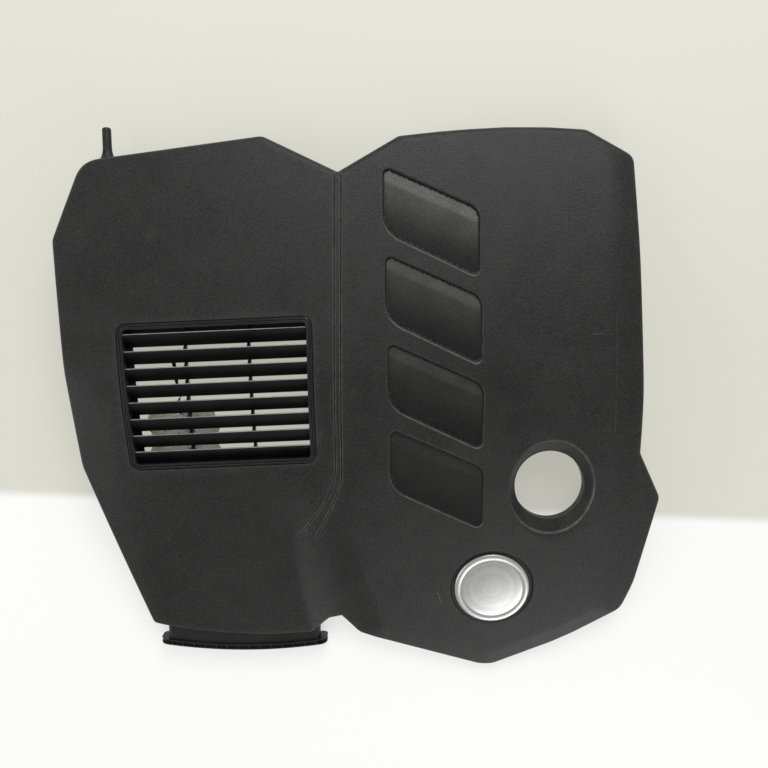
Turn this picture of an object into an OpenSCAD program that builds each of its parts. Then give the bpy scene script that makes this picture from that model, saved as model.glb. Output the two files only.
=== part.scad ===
// Moulded engine cover: two lobes joined at a seam, a louvred vent, four textured recesses,
// an oil filler hole, a blank badge and an air duct under the left lobe.
// It lies on its underside. X runs to the right and Y to the back, seen from above, and Z is up.
// The origin is the middle of the cover's outline, on the plane that the cover rests on.

/* [Overall] */
// Width from the left edge to the right edge
cover_w = 620; // [600:2:650]
// Length from the front tip to the back edge
cover_l = 580; // [565:1:610]
// Height of the crown above the bench
crown_h = 70.5; // [67:0.5:80]
// Wall of the moulding
wall = 3; // [2.4:0.2:3.6]
// Filler hole axis to the right edge
filler_to_right = 116.5; // [108:0.5:125]
// Filler hole axis to the front tip
filler_to_front = 214.5; // [205:0.5:225]
// Height of the skirt's lower edge above the bench at the back
back_rim_h = 12; // [6:0.5:18]

/* [Crown] */
// Crest of the crown to the back edge
crest_to_back = 264; // [250:1:280]
// Radius over the crest
crest_r = 330; // [250:10:450]
// Radius of the back slope
back_r = 2170; // [1800:10:3000]
// Height of the crown over the front tip
nose_h = 16.4; // [14:0.2:20]
// Turn of the crest arc towards the back, in degrees
back_turn = 4.3; // [3:0.1:5.5]
// Turn of the crest arc towards the front, in degrees
front_turn = 7.7; // [6:0.1:8.5]
// Crease of the right flank to the right edge
flank_to_right = 56.5; // [45:0.5:70]
// Fall of both flanks, in degrees
flank_fall = 12; // [6:0.5:16]
// Width of the bevel around the nose
nose_bevel_w = 16; // [10:0.5:20]
// Drop of the bevel around the nose
nose_bevel_drop = 8; // [4:0.5:10]
// Width of the rolled back edge
edge_roll_w = 4; // [2:0.5:6]
// Drop of the rolled back edge
edge_roll_drop = 3; // [1.5:0.25:4]
// Depth of the scoop where the lobes part at the front
scoop_depth = 5; // [2:0.5:7]
// Radius of the scoop
scoop_r = 90; // [70:5:120]

/* [Seam] */
// Seam between the lobes to the left edge
seam_to_left = 284; // [278:1:290]
// Width over the seam strip's two grooves
seam_strip_w = 6.4; // [5:0.2:9]
// Width of a groove
seam_groove_w = 1.4; // [1:0.1:2]
// Depth of a groove
seam_groove_depth = 1.3; // [0.8:0.1:1.8]

/* [Recesses] */
// Number of recesses
recess_n = 4; // [2:1:4]
// Pitch of the recesses from back to front
recess_pitch = 87.2; // [84:0.2:92]
// Sideways step from one recess to the next
recess_step = 2.4; // [0:0.1:4]
// Width of a recess
recess_w = 97; // [85:1:104]
// Height of a recess at its left side
recess_h_left = 66; // [55:0.5:70]
// Height of a recess at its right side
recess_h_right = 69.5; // [60:0.5:74]
// Fall of a recess's back edge from left to right
recess_fall = 42.5; // [36:0.5:48]
// Depth of a recess
recess_depth = 2.4; // [1.5:0.1:4]
// Width of the sloping band along a recess's back edge
recess_band_w = 11; // [8:0.5:16]
// Extra depth of the band at the back edge
recess_band_drop = 1.6; // [0.8:0.1:2.5]
// Centre of the first recess to the seam
recess_to_seam = 93.5; // [88:0.5:100]
// Centre of the first recess to the back edge
recess_to_back = 94.5; // [88:0.5:102]

/* [Filler hole] */
// Diameter of the filler hole
filler_d = 73; // [60:0.5:78]
// Width of the funnel at the outer face
funnel_w = 88; // [84:0.5:96]
// Length of the funnel at the outer face
funnel_l = 102; // [94:0.5:108]
// Depth of the funnel
funnel_depth = 12; // [8:0.5:15]
// Height of the collar below the funnel
collar_h = 13; // [8:0.5:18]

/* [Vent] */
// Width of the vent insert, halfway up
vent_w = 193; // [180:1:205]
// Length of the vent insert
vent_l = 150; // [144:1:160]
// Width that the insert loses from back to front
vent_taper = 6; // [0:0.5:10]
// Turn of the insert, in degrees
vent_turn = 2.5; // [0:0.1:5]
// Centre of the insert to the left edge
vent_to_left = 163.5; // [155:0.5:170]
// Centre of the insert to the crest, towards the front
vent_to_crest = 3.5; // [-6:0.5:12]
// Width of the insert's frame
vent_border = 6; // [5:0.5:9]
// Thickness of the insert's flange
vent_flange = 3; // [2:0.1:4]
// Depth of the insert's walls
vent_depth = 17; // [14:0.5:22]
// Number of louvre slats
slat_n = 8; // [5:1:9]
// Pitch of the slats
slat_pitch = 17.2; // [15:0.1:18]
// See-through gap between two slats, seen from above
slat_gap = 2.8; // [1.5:0.1:5]
// Thickness of a slat
slat_t = 2.2; // [1.4:0.1:3]
// Number of ribs across the slats
vent_rib_n = 2; // [1:1:4]
// Thickness of a rib across the slats
vent_rib_t = 3; // [1.6:0.1:4]

/* [Badge] */
// Diameter of the blank badge
badge_d = 80; // [60:1:84]
// Height of the blank badge
badge_h = 3.6; // [2.5:0.1:5]
// Diameter of the dish that holds the badge
dish_d = 89; // [87:0.5:96]
// Turn of the dish out of the cover's face, in degrees
dish_turn = 2.5; // [0.5:0.1:4]
// Badge centre to the filler hole axis, towards the left
badge_to_filler_x = 57; // [50:0.5:66]
// Badge centre to the filler hole axis, towards the front
badge_to_filler_y = 116; // [108:0.5:122]

/* [Air duct] */
// Outer width of the duct
duct_w = 168; // [150:1:174]
// Outer height of the duct
duct_h = 17; // [13:0.5:18]
// Length of the duct behind its mouth
duct_l = 118; // [90:1:130]
// Wall of the duct
duct_wall = 2.2; // [1.6:0.1:2.8]
// Left side of the duct to the left edge
duct_to_left = 91.5; // [86:0.5:96]
// Height that the flange stands out of the duct
flange_lip = 2.5; // [2:0.1:3.5]
// Width that the flange stands out at each end
flange_ear = 8; // [5:0.5:10]
// Radius of the flange's bow, seen from above
flange_bow_r = 590; // [450:10:900]
// Space between the flange's two plates
flange_gap = 3.4; // [2.5:0.1:5]
// Thickness of a flange plate and of a web
flange_t = 1.3; // [1:0.1:2]
// Pitch of the webs between the plates
web_pitch = 12.2; // [9:0.1:18]

/* [Fixings] */
// Diameter of the ball stud that a grommet takes
ball_d = 10; // [8:0.5:12]
// Outer diameter of a rubber grommet
grommet_d = 24; // [20:0.5:27]
// Height of a rubber grommet
grommet_h = 16; // [12:0.5:20]
// Wall of a grommet's socket
socket_wall = 2.6; // [2:0.1:3.5]
// Diameter of the locating pin
pin_d = 9; // [7:0.5:11]
// Reach of the locating pin past the back skirt
pin_reach = 32; // [24:0.5:40]
// Diameter of a screw's shank
screw_d = 4; // [3:0.1:5]
// Height of the screws' tabs above the bench
tab_z = 17.3; // [15:0.1:17.3]
// Thickness of the stiffening ribs
rib_t = 2; // [1.4:0.1:3]
// Depth of the stiffening ribs under the inner face
rib_h = 11; // [6:0.5:16]

/* [Sound pads] */
// Thickness of the foam pads
pad_t = 9; // [6:0.5:12]
// Diameter of the stakes that hold the pads
stake_d = 5; // [4:0.1:6]
// Diameter of the push-on washers
washer_d = 18; // [14:0.5:22]
// Thickness of the push-on washers
washer_t = 1.2; // [0.8:0.1:2]

/* [Hidden] */
big_fn = 360;
round_fn = 64;
// Clearance round a part that drops into another
fit = 0.3;
// Clearance round a pin or a screw
pin_fit = 0.1;
far = 1400;
x_right = filler_to_right;
x_left = x_right - cover_w;
y_front = -filler_to_front;
y_back = y_front + cover_l;
seam_x = x_left + seam_to_left;
crest_y = y_back - crest_to_back;
flank_x = x_right - flank_to_right;

// Centres of the crown's three arcs in the Y-Z plane, and the heights along Y where they meet
crest_c = [crest_y, crown_h - crest_r];
front_start = crest_c + crest_r * [-sin(front_turn), cos(front_turn)];
front_chord = front_start - [y_front, nose_h];
front_r = norm(front_chord) / 2 / sin(atan2(front_chord[1], front_chord[0]) - front_turn);
back_c = crest_c - (back_r - crest_r) * [sin(back_turn), cos(back_turn)];
front_c = crest_c - (front_r - crest_r) * [-sin(front_turn), cos(front_turn)];
back_join = crest_y + crest_r * sin(back_turn);
front_join = crest_y - crest_r * sin(front_turn);
function arc_c(y) = y > back_join ? back_c : y > front_join ? crest_c : front_c;
function arc_r(y) = y > back_join ? back_r : y > front_join ? crest_r : front_r;
// Height of the crown at y, and its tilt there in degrees, positive towards the back
function crown_z(y) = arc_c(y)[1] + sqrt(arc_r(y) ^ 2 - (y - arc_c(y)[0]) ^ 2);
function crown_tilt(y) = asin((y - arc_c(y)[0]) / arc_r(y));

// Corners of the outline, anticlockwise from the notch at the back, as x, y and corner radius.
// Each is measured from the left or right edge, and from the back edge or the front tip.
function from_left_back(c) = [x_left + c[0], y_back - c[1], c[2]];
function from_left_front(c) = [x_left + c[0], y_front + c[1], c[2]];
function from_right_front(c) = [x_right - c[0], y_front + c[1], c[2]];
function from_right_back(c) = [x_right - c[0], y_back - c[1], c[2]];
outline = [
    [seam_x, y_back - 45.5, 2],
    from_left_back([208, 9.5, 14]),
    from_left_back([28.5, 34.5, 28]),
    from_left_back([0, 113.5, 14]),
    from_left_front([18.5, 236, 40]),
    from_left_front([78, 54, 5]),
    from_left_front([137.5, 43.5, 200]),
    from_left_front([198.5, 39.5, 200]),
    from_left_front([250.5, 43, 14]),
    from_left_front([270, 58.5, 6]),
    [seam_x, y_front + 61, 1],
    from_right_front([316.5, 40, 16]),
    from_right_front([183.5, 0, 20]),
    from_right_front([167.5, 0, 18]),
    from_right_front([91.5, 34, 200]),
    from_right_front([30.5, 71.5, 18]),
    from_right_front([19, 101.5, 80]),
    from_right_front([-0.5, 200.5, 14]),
    from_right_front([26, 250.5, 10]),
    from_right_back([27, 265, 400]),
    from_right_back([32.5, 125, 800]),
    from_right_back([39, 30, 12]),
    from_right_back([86.5, 3, 18]),
    from_right_back([146.5, -0.5, 400]),
    from_right_back([220.5, 3.5, 500]),
    from_right_back([275, 9.5, 10])
];
// Edges of the outline that are rolled over or bevelled, each named by its first corner
left_rolled = [0, 1];
right_rolled = [21, 22, 23, 24, 25];
nose_edges = [11, 13, 14, 15, 16];
lip_edges = [5, 6, 7];
lip_w = 2;
lip_drop = 1.5;

// Two-dimensional helpers
function unit(v) = v / norm(v);
function cross2(a, b) = a[0] * b[1] - a[1] * b[0];
function xy(c) = [c[0], c[1]];
function pick(list, i) = list[(i + len(list)) % len(list)];
function inner_normal(a, b) = let(d = unit(b - a)) [-d[1], d[0]];
function inset_corner(a, b, c, t) = let(n = inner_normal(a, b), m = inner_normal(b, c))
    b + (n + m) * t / (1 + n * m);
function wrap_turn(a) = (a + 540) % 360 - 180;
function arc_points(a, b, c, r) = let(
    u = unit(a - b),
    v = unit(c - b),
    half = acos(u * v) / 2,
    o = b + unit(u + v) * r / sin(half),
    p = b + u * r / tan(half) - o,
    q = b + v * r / tan(half) - o,
    start = atan2(p[1], p[0]),
    turn = wrap_turn(atan2(q[1], q[0]) - start),
    n = max(1, ceil(abs(turn) / 9)))
    [for (i = [0:n]) o + r * [cos(start + turn * i / n), sin(start + turn * i / n)]];
// A closed outline with rounded corners, set inwards by t, or outwards where t is negative
function ring(corners, t) = let(
    pts = [for (i = [0:len(corners) - 1])
        inset_corner(xy(pick(corners, i - 1)), xy(corners[i]), xy(pick(corners, i + 1)), t)])
    [for (i = [0:len(pts) - 1]) let(
        a = pick(pts, i - 1),
        b = pts[i],
        c = pick(pts, i + 1),
        convex = cross2(b - a, c - b) > 0,
        r = max(0.4, corners[i][2] + (convex ? -t : t)))
        each arc_points(a, b, c, r)];
// A ribbon of width w along an open line of points
function side_point(pts, i, w) = let(
    a = pts[max(i - 1, 0)],
    b = pts[i],
    c = pts[min(i + 1, len(pts) - 1)],
    n = i == 0 ? inner_normal(b, c) : inner_normal(a, b),
    m = i == len(pts) - 1 ? n : inner_normal(b, c))
    b + (n + m) * w / (1 + n * m);
function ribbon(pts, w) = concat(
    [for (i = [0:len(pts) - 1]) side_point(pts, i, w / 2)],
    [for (i = [len(pts) - 1:-1:0]) side_point(pts, i, -w / 2)]);

module tall(points, low = -60, high = 160) {
    translate([0, 0, low])
        linear_extrude(high - low)
            polygon(points);
}

// Everything under one arc of the crown, between two places along Y
module under_arc(c, r, from, to) {
    intersection() {
        translate(c)
            circle(r, $fn = big_fn);
        translate([from, -80])
            square([to - from, 240]);
    }
}

// Everything under the crown, set down by t at right angles to it. The crest arc stands a hair high
// and runs on under both slopes, so that it crosses each of them at one clean line.
crest_lift = 0.02;
flank_lift = 0.06;
crest_over = 20;
module under_crown(t, lift = crest_lift) {
    translate([x_left - 60, 0, 0])
        rotate([90, 0, 90])
            linear_extrude(cover_w + 120)
                union() {
                    under_arc(back_c, back_r - t, back_join, y_back + 60);
                    under_arc(
                        crest_c + [0, lift],
                        crest_r - t,
                        front_join - crest_over,
                        back_join + crest_over);
                    under_arc(front_c, front_r - t, y_front - 60, front_join);
                }
}

// The right flank is the same crown turned about a line along Y
module under_right_flank(t) {
    translate([flank_x, 0, crown_h])
        rotate([0, flank_fall, 0])
            translate([-flank_x, 0, -crown_h])
                under_crown(t, flank_lift);
}

// The left flank carries on the front slope, turned about its own crease, and fades out at the crest
crease_front = [x_left + 91.5, y_front + 56.5];
crease_back = [x_left + 51.5, y_front + 282.5];
crease_mid = (crease_front + crease_back) / 2;
crease_dir = unit(crease_back - crease_front);
module under_left_flank(t) {
    translate([crease_mid[0], crease_mid[1], crown_z(crease_mid[1])])
        rotate(a = -flank_fall, v = [crease_dir[0], crease_dir[1], 0])
            translate([-crease_mid[0], -crease_mid[1], -crown_z(crease_mid[1])])
                translate([x_left - 200, front_c[0], front_c[1]])
                    rotate([0, 90, 0])
                        cylinder(r = front_r - t, h = cover_w + 400, $fn = big_fn);
}

// Everything above a sloping plane through the line a-b, which falls by drop over w to its outer side
module above_bevel(a, b, w, drop, t) {
    inward = inner_normal(a, b);
    p = a + inward * w;
    q = b + inward * w;
    along = [q[0] - p[0], q[1] - p[1], crown_z(q[1]) - crown_z(p[1])];
    down = [-inward[0] * w, -inward[1] * w, -drop];
    n = unit(-cross(along, down));
    foot = [p[0], p[1], crown_z(p[1])] - t * n;
    translate(foot)
        rotate(a = acos(n[2]), v = [-n[1], n[0], 0])
            translate([-far / 2, -far / 2, 0])
                cube([far, far, 160]);
}

module outline_bevels(edges, w, drop, t) {
    for (i = edges)
        above_bevel(xy(outline[i]), xy(pick(outline, i + 1)), w, drop, t);
}

module half_space(left) {
    translate([seam_x, 0, 0])
        rotate([0, 0, left ? 180 : 0])
            translate([0, -far / 2, -60])
                cube([far, far, 220]);
}

module left_lobe(t) {
    difference() {
        intersection() {
            tall(ring(outline, t));
            half_space(true);
            under_crown(t);
            under_left_flank(t);
        }
        outline_bevels(left_rolled, edge_roll_w, edge_roll_drop, t);
        outline_bevels(lip_edges, lip_w, lip_drop, t);
    }
}

module right_lobe(t) {
    difference() {
        intersection() {
            tall(ring(outline, t));
            half_space(false);
            under_crown(t);
            under_right_flank(t);
        }
        outline_bevels(right_rolled, edge_roll_w, edge_roll_drop, t);
        outline_bevels(nose_edges, nose_bevel_w, nose_bevel_drop, t);
    }
}

// Scoop between the lobes, as a long cylinder that dips from the seam's end to the front notch
scoop_top = [seam_x - 30, y_front + 176];
scoop_end = [seam_x - 2, y_front + 61];
module scoop(t) {
    run = scoop_end - scoop_top;
    z_top = crown_z(scoop_top[1]) + scoop_r;
    z_end = crown_z(scoop_end[1]) - scoop_depth + scoop_r;
    span = [run[0], run[1], z_end - z_top];
    reach = norm(span);
    translate([scoop_top[0], scoop_top[1], z_top])
        rotate([0, acos(span[2] / reach), atan2(run[1], run[0])])
            translate([0, 0, -reach / 2])
                cylinder(r = scoop_r + t, h = reach * 2.2, $fn = big_fn);
}

// Recesses: a corner list for each, placed down the right lobe
function recess_centre(i) = [
    seam_x + recess_to_seam + recess_step * i,
    y_back - recess_to_back - recess_pitch * i
];
function recess_corners(i) = let(
    o = recess_centre(i),
    left = o[0] - recess_w / 2,
    right = o[0] + recess_w / 2,
    top = o[1] + (recess_fall + (recess_h_left + recess_h_right) / 2) / 2)
    [
        [left, top, 6],
        [left, top - recess_h_left, 30],
        [right, top - recess_fall - recess_h_right, 6],
        [right, top - recess_fall, 17]
    ];

module recess_void(i, t) {
    c = recess_corners(i);
    inward = inner_normal(xy(c[3]), xy(c[0]));
    difference() {
        tall(ring(c, -t), low = 0);
        difference() {
            under_crown(recess_depth + t);
            above_band(xy(c[3]) + inward * recess_band_w, xy(c[0]) + inward * recess_band_w, t);
        }
    }
}

// Everything above the band that slopes down from a recess's fold line a-b to its back edge
module above_band(a, b, t) {
    outward = -inner_normal(a, b);
    along = [b[0] - a[0], b[1] - a[1], crown_z(b[1]) - crown_z(a[1])];
    fall = crown_z(a[1] + outward[1] * recess_band_w) - crown_z(a[1]) - recess_band_drop;
    down = [outward[0] * recess_band_w, outward[1] * recess_band_w, fall];
    n = unit(-cross(along, down));
    foot = [a[0], a[1], crown_z(a[1])] - (recess_depth + t) * n;
    translate(foot)
        rotate(a = acos(n[2]), v = [-n[1], n[0], 0])
            translate([-far / 2, -far / 2, 0])
                cube([far, far, 160]);
}

// Filler funnel: an oval at the outer face that runs down to the round hole
filler_z = crown_z(0) - funnel_depth;
funnel_ledge = 0.5;
function oval(w, l, z, tilt, n = 44) = [for (i = [0:n - 1])
    let(x = w / 2 * cos(360 * i / n), y = l / 2 * sin(360 * i / n)) [x, y, z + y * tan(tilt)]];
module loft(low, high) {
    n = len(low);
    polyhedron(
        points = concat(low, high),
        faces = concat(
            [[for (i = [0:n - 1]) i]],
            [[for (i = [n - 1:-1:0]) n + i]],
            [for (i = [0:n - 1]) each [[i, n + i, (i + 1) % n], [(i + 1) % n, n + i, n + (i + 1) % n]]]));
}
module funnel_void(t) {
    // The loft starts on a narrow ledge round the hole and goes on past the outer face by the same slope
    over = 1.5;
    foot = filler_d + 2 * funnel_ledge + 2 * t;
    loft(
        oval(foot, foot, filler_z - t, 0),
        oval(
            foot + (funnel_w - filler_d) * over,
            foot + (funnel_l - filler_d) * over,
            filler_z + funnel_depth * over - t,
            crown_tilt(0) * -over));
    translate([0, 0, filler_z - collar_h - (t > 0 ? 0 : 60)])
        cylinder(r = filler_d / 2 + t, h = collar_h + 0.5 + (t > 0 ? -t : 60), $fn = 96);
}

// Vent: its corners, turned and tapered, and the place of a point in its own plane
vent_centre = [x_left + vent_to_left, crest_y - vent_to_crest];
vent_right = [cos(vent_turn), sin(vent_turn)];
vent_up = [-sin(vent_turn), cos(vent_turn)];
function vent_point(u, v) = vent_centre + u * vent_right + v * vent_up;
function vent_half(v) = vent_w / 2 + vent_taper / 2 * v / vent_l;
function vent_corners(inset, r) = let(
    v = vent_l / 2 - inset,
    a = vent_half(v) - inset,
    b = vent_half(-v) - inset)
    [for (p = [[-a, v], [-b, -v], [b, -v], [a, v]]) let(q = vent_point(p[0], p[1])) [q[0], q[1], r]];
vent_frame = vent_corners(0, 10);
vent_wall = 2.2;
module vent_seat(t) {
    difference() {
        tall(ring(vent_frame, -fit - t), low = 0);
        under_crown(vent_flange + t);
    }
}
module vent_opening() {
    tall(ring(vent_frame, vent_border - vent_wall - fit));
}

// Dish for the badge, in its own plane
badge_x = -badge_to_filler_x;
badge_y = -badge_to_filler_y;
dish_sink = dish_d / 2 * tan(dish_turn);
badge_pin_d = 4;
badge_pin_reach = 12;
badge_pins = [for (a = [90, 210, 330]) 26 * [cos(a), sin(a)]];
module at_dish() {
    translate([badge_x, badge_y, crown_z(badge_y)])
        rotate([-crown_tilt(badge_y) - dish_turn, 0, 0])
            translate([0, 0, -dish_sink])
                children();
}
module dish_void(t) {
    at_dish()
        translate([0, 0, -t])
            cylinder(r = dish_d / 2 + t, h = 60, $fn = 96);
}

// The solid under the outer face, set in by t on all sides, with every hollow of that face
module body(t) {
    difference() {
        union() {
            left_lobe(t);
            right_lobe(t);
        }
        scoop(t);
        for (i = [0:recess_n - 1])
            recess_void(i, t);
        funnel_void(t);
        vent_seat(t);
        dish_void(t);
    }
}

// Grooves on both sides of the seam strip, which part at its front end
left_groove = [
    [seam_x - seam_strip_w / 2, y_back],
    [seam_x - seam_strip_w / 2, y_front + 227],
    [seam_x - 13, y_front + 200],
    [seam_x - 28, y_front + 178],
    [seam_x - 42, y_front + 162]
];
right_groove = [
    [seam_x + seam_strip_w / 2, y_back],
    [seam_x + seam_strip_w / 2, y_front + 220],
    [seam_x - 8, y_front + 192],
    [seam_x - 19, y_front + 170],
    [seam_x - 26, y_front + 156]
];
module seam_grooves() {
    difference() {
        union() {
            tall(ribbon(left_groove, seam_groove_w), low = 0);
            tall(ribbon(right_groove, seam_groove_w), low = 0);
        }
        under_crown(seam_groove_depth);
    }
}

// The skirt's lower edge: a plane that rises to the back, with an arch over both sides
rim_tilt = atan(back_rim_h / cover_l);
arch_h = 30;
arch_r = 300;
arch_y = crest_y - 14;
module below_rim() {
    translate([x_left - 60, y_front, 0])
        rotate([rim_tilt, 0, 0])
            translate([0, -60, -120])
                cube([cover_w + 120, cover_l + 120, 120]);
    translate([x_left - 60, arch_y, (arch_y - y_front) * tan(rim_tilt) + arch_h - arch_r])
        rotate([0, 90, 0])
            cylinder(r = arch_r, h = cover_w + 120, $fn = big_fn);
}

// Duct: its box, and the opening that it takes in the front skirt
duct_x0 = x_left + duct_to_left;
duct_x1 = duct_x0 + duct_w;
duct_z0 = flange_lip;
duct_z1 = duct_z0 + duct_h;
duct_mid = (duct_x0 + duct_x1) / 2;
// Front of the flange at the duct's middle, and the bow's centre behind it
flange_front = y_front + 21;
bow_y = flange_front + flange_bow_r;
duct_back = flange_front + duct_l;
duct_gap = 1.5;
module duct_opening() {
    translate([duct_x0 - duct_gap, flange_front, -10])
        cube([duct_w + 2 * duct_gap, 60, duct_z1 + duct_gap + 10]);
}

// Tabs of the duct, their screws and the bosses above them
tab_size = 14;
tab_out = tab_size / 2 - 1;
screw_grip = 4.5;
tab_spots = [for (x = [duct_x0 - tab_out, duct_x1 + tab_out], y = [duct_back - 16, duct_back - 66]) [x, y]];
boss_d = 9;

// Sockets for the rubber grommets: place, and height of the grommet's lower face
grommet_spots = [
    [x_left + 66, y_back - 82, 0],
    [x_right - 78, y_back - 66, 0],
    [x_left + 58, y_front + 176, 8],
    [x_right - 62, y_front + 122, 6]
];
grommet_lip = 2.5;
socket_r = grommet_d / 2 + fit + socket_wall;
// A tower hangs from the inner face: a tube with fins outside it and fins over the grommet inside it
module socket_tower(i) {
    s = grommet_spots[i];
    translate([s[0], s[1], s[2] + grommet_lip]) {
        difference() {
            cylinder(r = socket_r, h = 100, $fn = round_fn);
            translate([0, 0, -1])
                cylinder(r = grommet_d / 2 + fit, h = 102, $fn = round_fn);
        }
        for (a = [0, 90])
            rotate([0, 0, a]) {
                translate([-socket_r + 1, -rib_t / 2, grommet_h - grommet_lip])
                    cube([2 * socket_r - 2, rib_t, 90]);
                for (side = [-1, 1])
                    translate([side * (socket_r + 3.5) - 4.5, -rib_t / 2, grommet_h / 2])
                        cube([9, rib_t, 90]);
            }
    }
}

// Foam pads and the stakes that hold them
pad_left_corners = [
    [vent_centre[0] - 70, y_back - 66, 12],
    [vent_centre[0] - 74, crest_y + 94, 12],
    [seam_x - 22, crest_y + 100, 12],
    [seam_x - 22, y_back - 72, 12]
];
pad_x0 = seam_x + 26;
pad_x1 = -funnel_w / 2 - 14;
function pad_x(share) = pad_x0 + share * (pad_x1 - pad_x0);
pad_right_corners = [
    [pad_x0, y_back - 66, 14],
    [pad_x0, y_front + 140, 14],
    [pad_x(0.66), y_front + 120, 14],
    [pad_x(0.96), crest_y - 10, 14],
    [pad_x1, y_back - 66, 14]
];
pad_left_stakes = [
    [vent_centre[0] - 50, y_back - 88],
    [vent_centre[0] + 12, y_back - 120],
    [seam_x - 44, y_back - 94],
    [vent_centre[0] - 50, crest_y + 118],
    [seam_x - 44, crest_y + 122]
];
pad_right_stakes = [
    [pad_x(0.15), y_back - 86],
    [pad_x(0.8), y_back - 90],
    [pad_x(0.15), crest_y + 50],
    [pad_x(0.72), crest_y + 18],
    [pad_x(0.15), y_front + 190],
    [pad_x(0.44), y_front + 158]
];
stake_reach = 6;
stakes = concat(pad_left_stakes, pad_right_stakes);
module stake_posts(d) {
    for (s = stakes)
        translate([s[0], s[1], 0])
            cylinder(r = d / 2, h = 120, $fn = 32);
}

// Stiffening ribs: a grid under the inner face, left out where a pad or the vent lies
rib_xs = concat(
    [x_left + 22, x_left + 58, vent_centre[0] + 112],
    [seam_x, seam_x + 20, flank_x - 94, flank_x - 28, flank_x]);
rib_ys = concat(
    [y_front + 60, y_front + 122, y_front + 176],
    [crest_y - 94, crest_y, crest_y + 88, y_back - 116, y_back - 52]);
module rib_grid() {
    for (x = rib_xs)
        translate([x - rib_t / 2, y_front, 0])
            cube([rib_t, cover_l, 120]);
    for (y = rib_ys)
        translate([x_left, y - rib_t / 2, 0])
            cube([cover_w, rib_t, 120]);
}
module ribs() {
    difference() {
        rib_grid();
        under_crown(wall + rib_h);
        tall(ring(pad_left_corners, -1));
        tall(ring(pad_right_corners, -1));
        tall(ring(vent_frame, -wall - 1));
        cylinder(r = funnel_l / 2 + wall, h = 120, $fn = round_fn);
        for (p = badge_pins)
            translate([badge_x + p[0], badge_y + p[1], 0])
                cylinder(r = 10, h = 120, $fn = 32);
        translate([duct_x0 - tab_size - 2, y_front, 0])
            cube([duct_w + 2 * tab_size + 4, duct_back - y_front + 4, duct_z1 + 2]);
    }
}

// Everything on the inner side, before it is cut to the room under the outer face
module inner_works() {
    difference() {
        ribs();
        for (s = grommet_spots)
            translate([s[0], s[1], 0])
                cylinder(r = socket_r - 1, h = 120, $fn = 32);
    }
    for (i = [0:3])
        socket_tower(i);
    for (s = tab_spots)
        translate([s[0], s[1], tab_z + duct_wall])
            cylinder(r = boss_d / 2, h = 80, $fn = 32);
    difference() {
        stake_posts(stake_d);
        under_crown(wall + pad_t + stake_reach);
    }
}

// Locating pin on the back skirt, a turned peg with a flared foot
pin_x = x_left + 50;
pin_z = 29;
pin_y = y_back - 32;
module locating_pin() {
    translate([pin_x, pin_y - wall, pin_z])
        rotate([-90, 0, 0])
            rotate_extrude($fn = 48)
                polygon([
                    [0, 0],
                    [pin_d / 2 + 3.5, 0],
                    [pin_d / 2 + 3.5, wall + 1],
                    [pin_d / 2 + 0.6, wall + 10],
                    [pin_d / 2, wall + 12],
                    [pin_d / 2, pin_reach + wall - 2.5],
                    [pin_d / 2 - 0.8, pin_reach + wall - 0.8],
                    [pin_d / 2 - 2.2, pin_reach + wall],
                    [0, pin_reach + wall]
                ]);
}

module cover_shell() {
    color("#2c2d2e")
        difference() {
            union() {
                difference() {
                    body(0);
                    body(wall);
                    below_rim();
                    duct_opening();
                }
                intersection() {
                    inner_works();
                    body(wall / 2);
                }
                difference() {
                    locating_pin();
                    tall(ring(outline, wall / 2));
                }
            }
            seam_grooves();
            vent_opening();
            at_dish()
                for (p = badge_pins)
                    translate([p[0], p[1], -20])
                        cylinder(r = badge_pin_d / 2 + fit, h = 30, $fn = 32);
            for (s = tab_spots)
                translate([s[0], s[1], 0])
                    cylinder(r = screw_d / 2 + pin_fit, h = tab_z + duct_wall + screw_grip + 0.5, $fn = 32);
        }
}

// Louvres: a leaning slat between two see-through rows, with its upper edge towards the back
slat_top = 2;
slat_drop = 12;
first_slat_v = vent_l / 2 - vent_border - 11.5;
module slat(k) {
    v = first_slat_v - slat_pitch * k;
    place = vent_point(0, v);
    half = vent_half(v) - vent_border + vent_wall / 2;
    reach = (slat_pitch - slat_gap) / 2;
    translate([place[0], place[1], crown_z(place[1])])
        rotate([0, 0, vent_turn])
            rotate([90, 0, 90])
                translate([0, 0, -half])
                    linear_extrude(2 * half)
                        polygon([
                            [reach, -slat_top],
                            [reach - slat_t, -slat_top],
                            [-reach, -slat_top - slat_drop + slat_t * 0.8],
                            [-reach, -slat_top - slat_drop],
                            [-reach + slat_t * 0.6, -slat_top - slat_drop],
                            [reach, -slat_top - slat_t]
                        ]);
}

module vent_rib(u) {
    shift = [cos(vent_turn), sin(vent_turn)] * vent_rib_t / 2;
    a = vent_point(u, vent_l / 2 - vent_border / 2);
    b = vent_point(u, -vent_l / 2 + vent_border / 2);
    tall([a - shift, b - shift, b + shift, a + shift]);
}

// Snap hooks on the insert's walls, which spring out under the seat's ledge
hook_spots = [[-1, 44], [-1, 0], [-1, -44], [1, 44], [1, 0], [1, -44]];
module snap_hook(side, v) {
    half = vent_half(v) - vent_border + vent_wall;
    p = vent_point(side * half, v);
    translate([p[0], p[1], crown_z(p[1])])
        rotate([0, 0, vent_turn + (side > 0 ? 0 : 180)])
            rotate([90, 0, 0])
                translate([0, 0, -5])
                    linear_extrude(10)
                        polygon([
                            [-1, -vent_flange - wall - fit - 0.4],
                            [2, -vent_flange - wall - fit - 0.6],
                            [2, -vent_flange - wall - 2],
                            [-1, -vent_flange - wall - 6]
                        ]);
}

module layer(from, to) {
    difference() {
        under_crown(from);
        under_crown(to);
    }
}
module vent_band(outer, inner) {
    difference() {
        tall(ring(vent_frame, outer), low = 0);
        tall(ring(vent_frame, inner), low = -1);
    }
}

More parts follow.
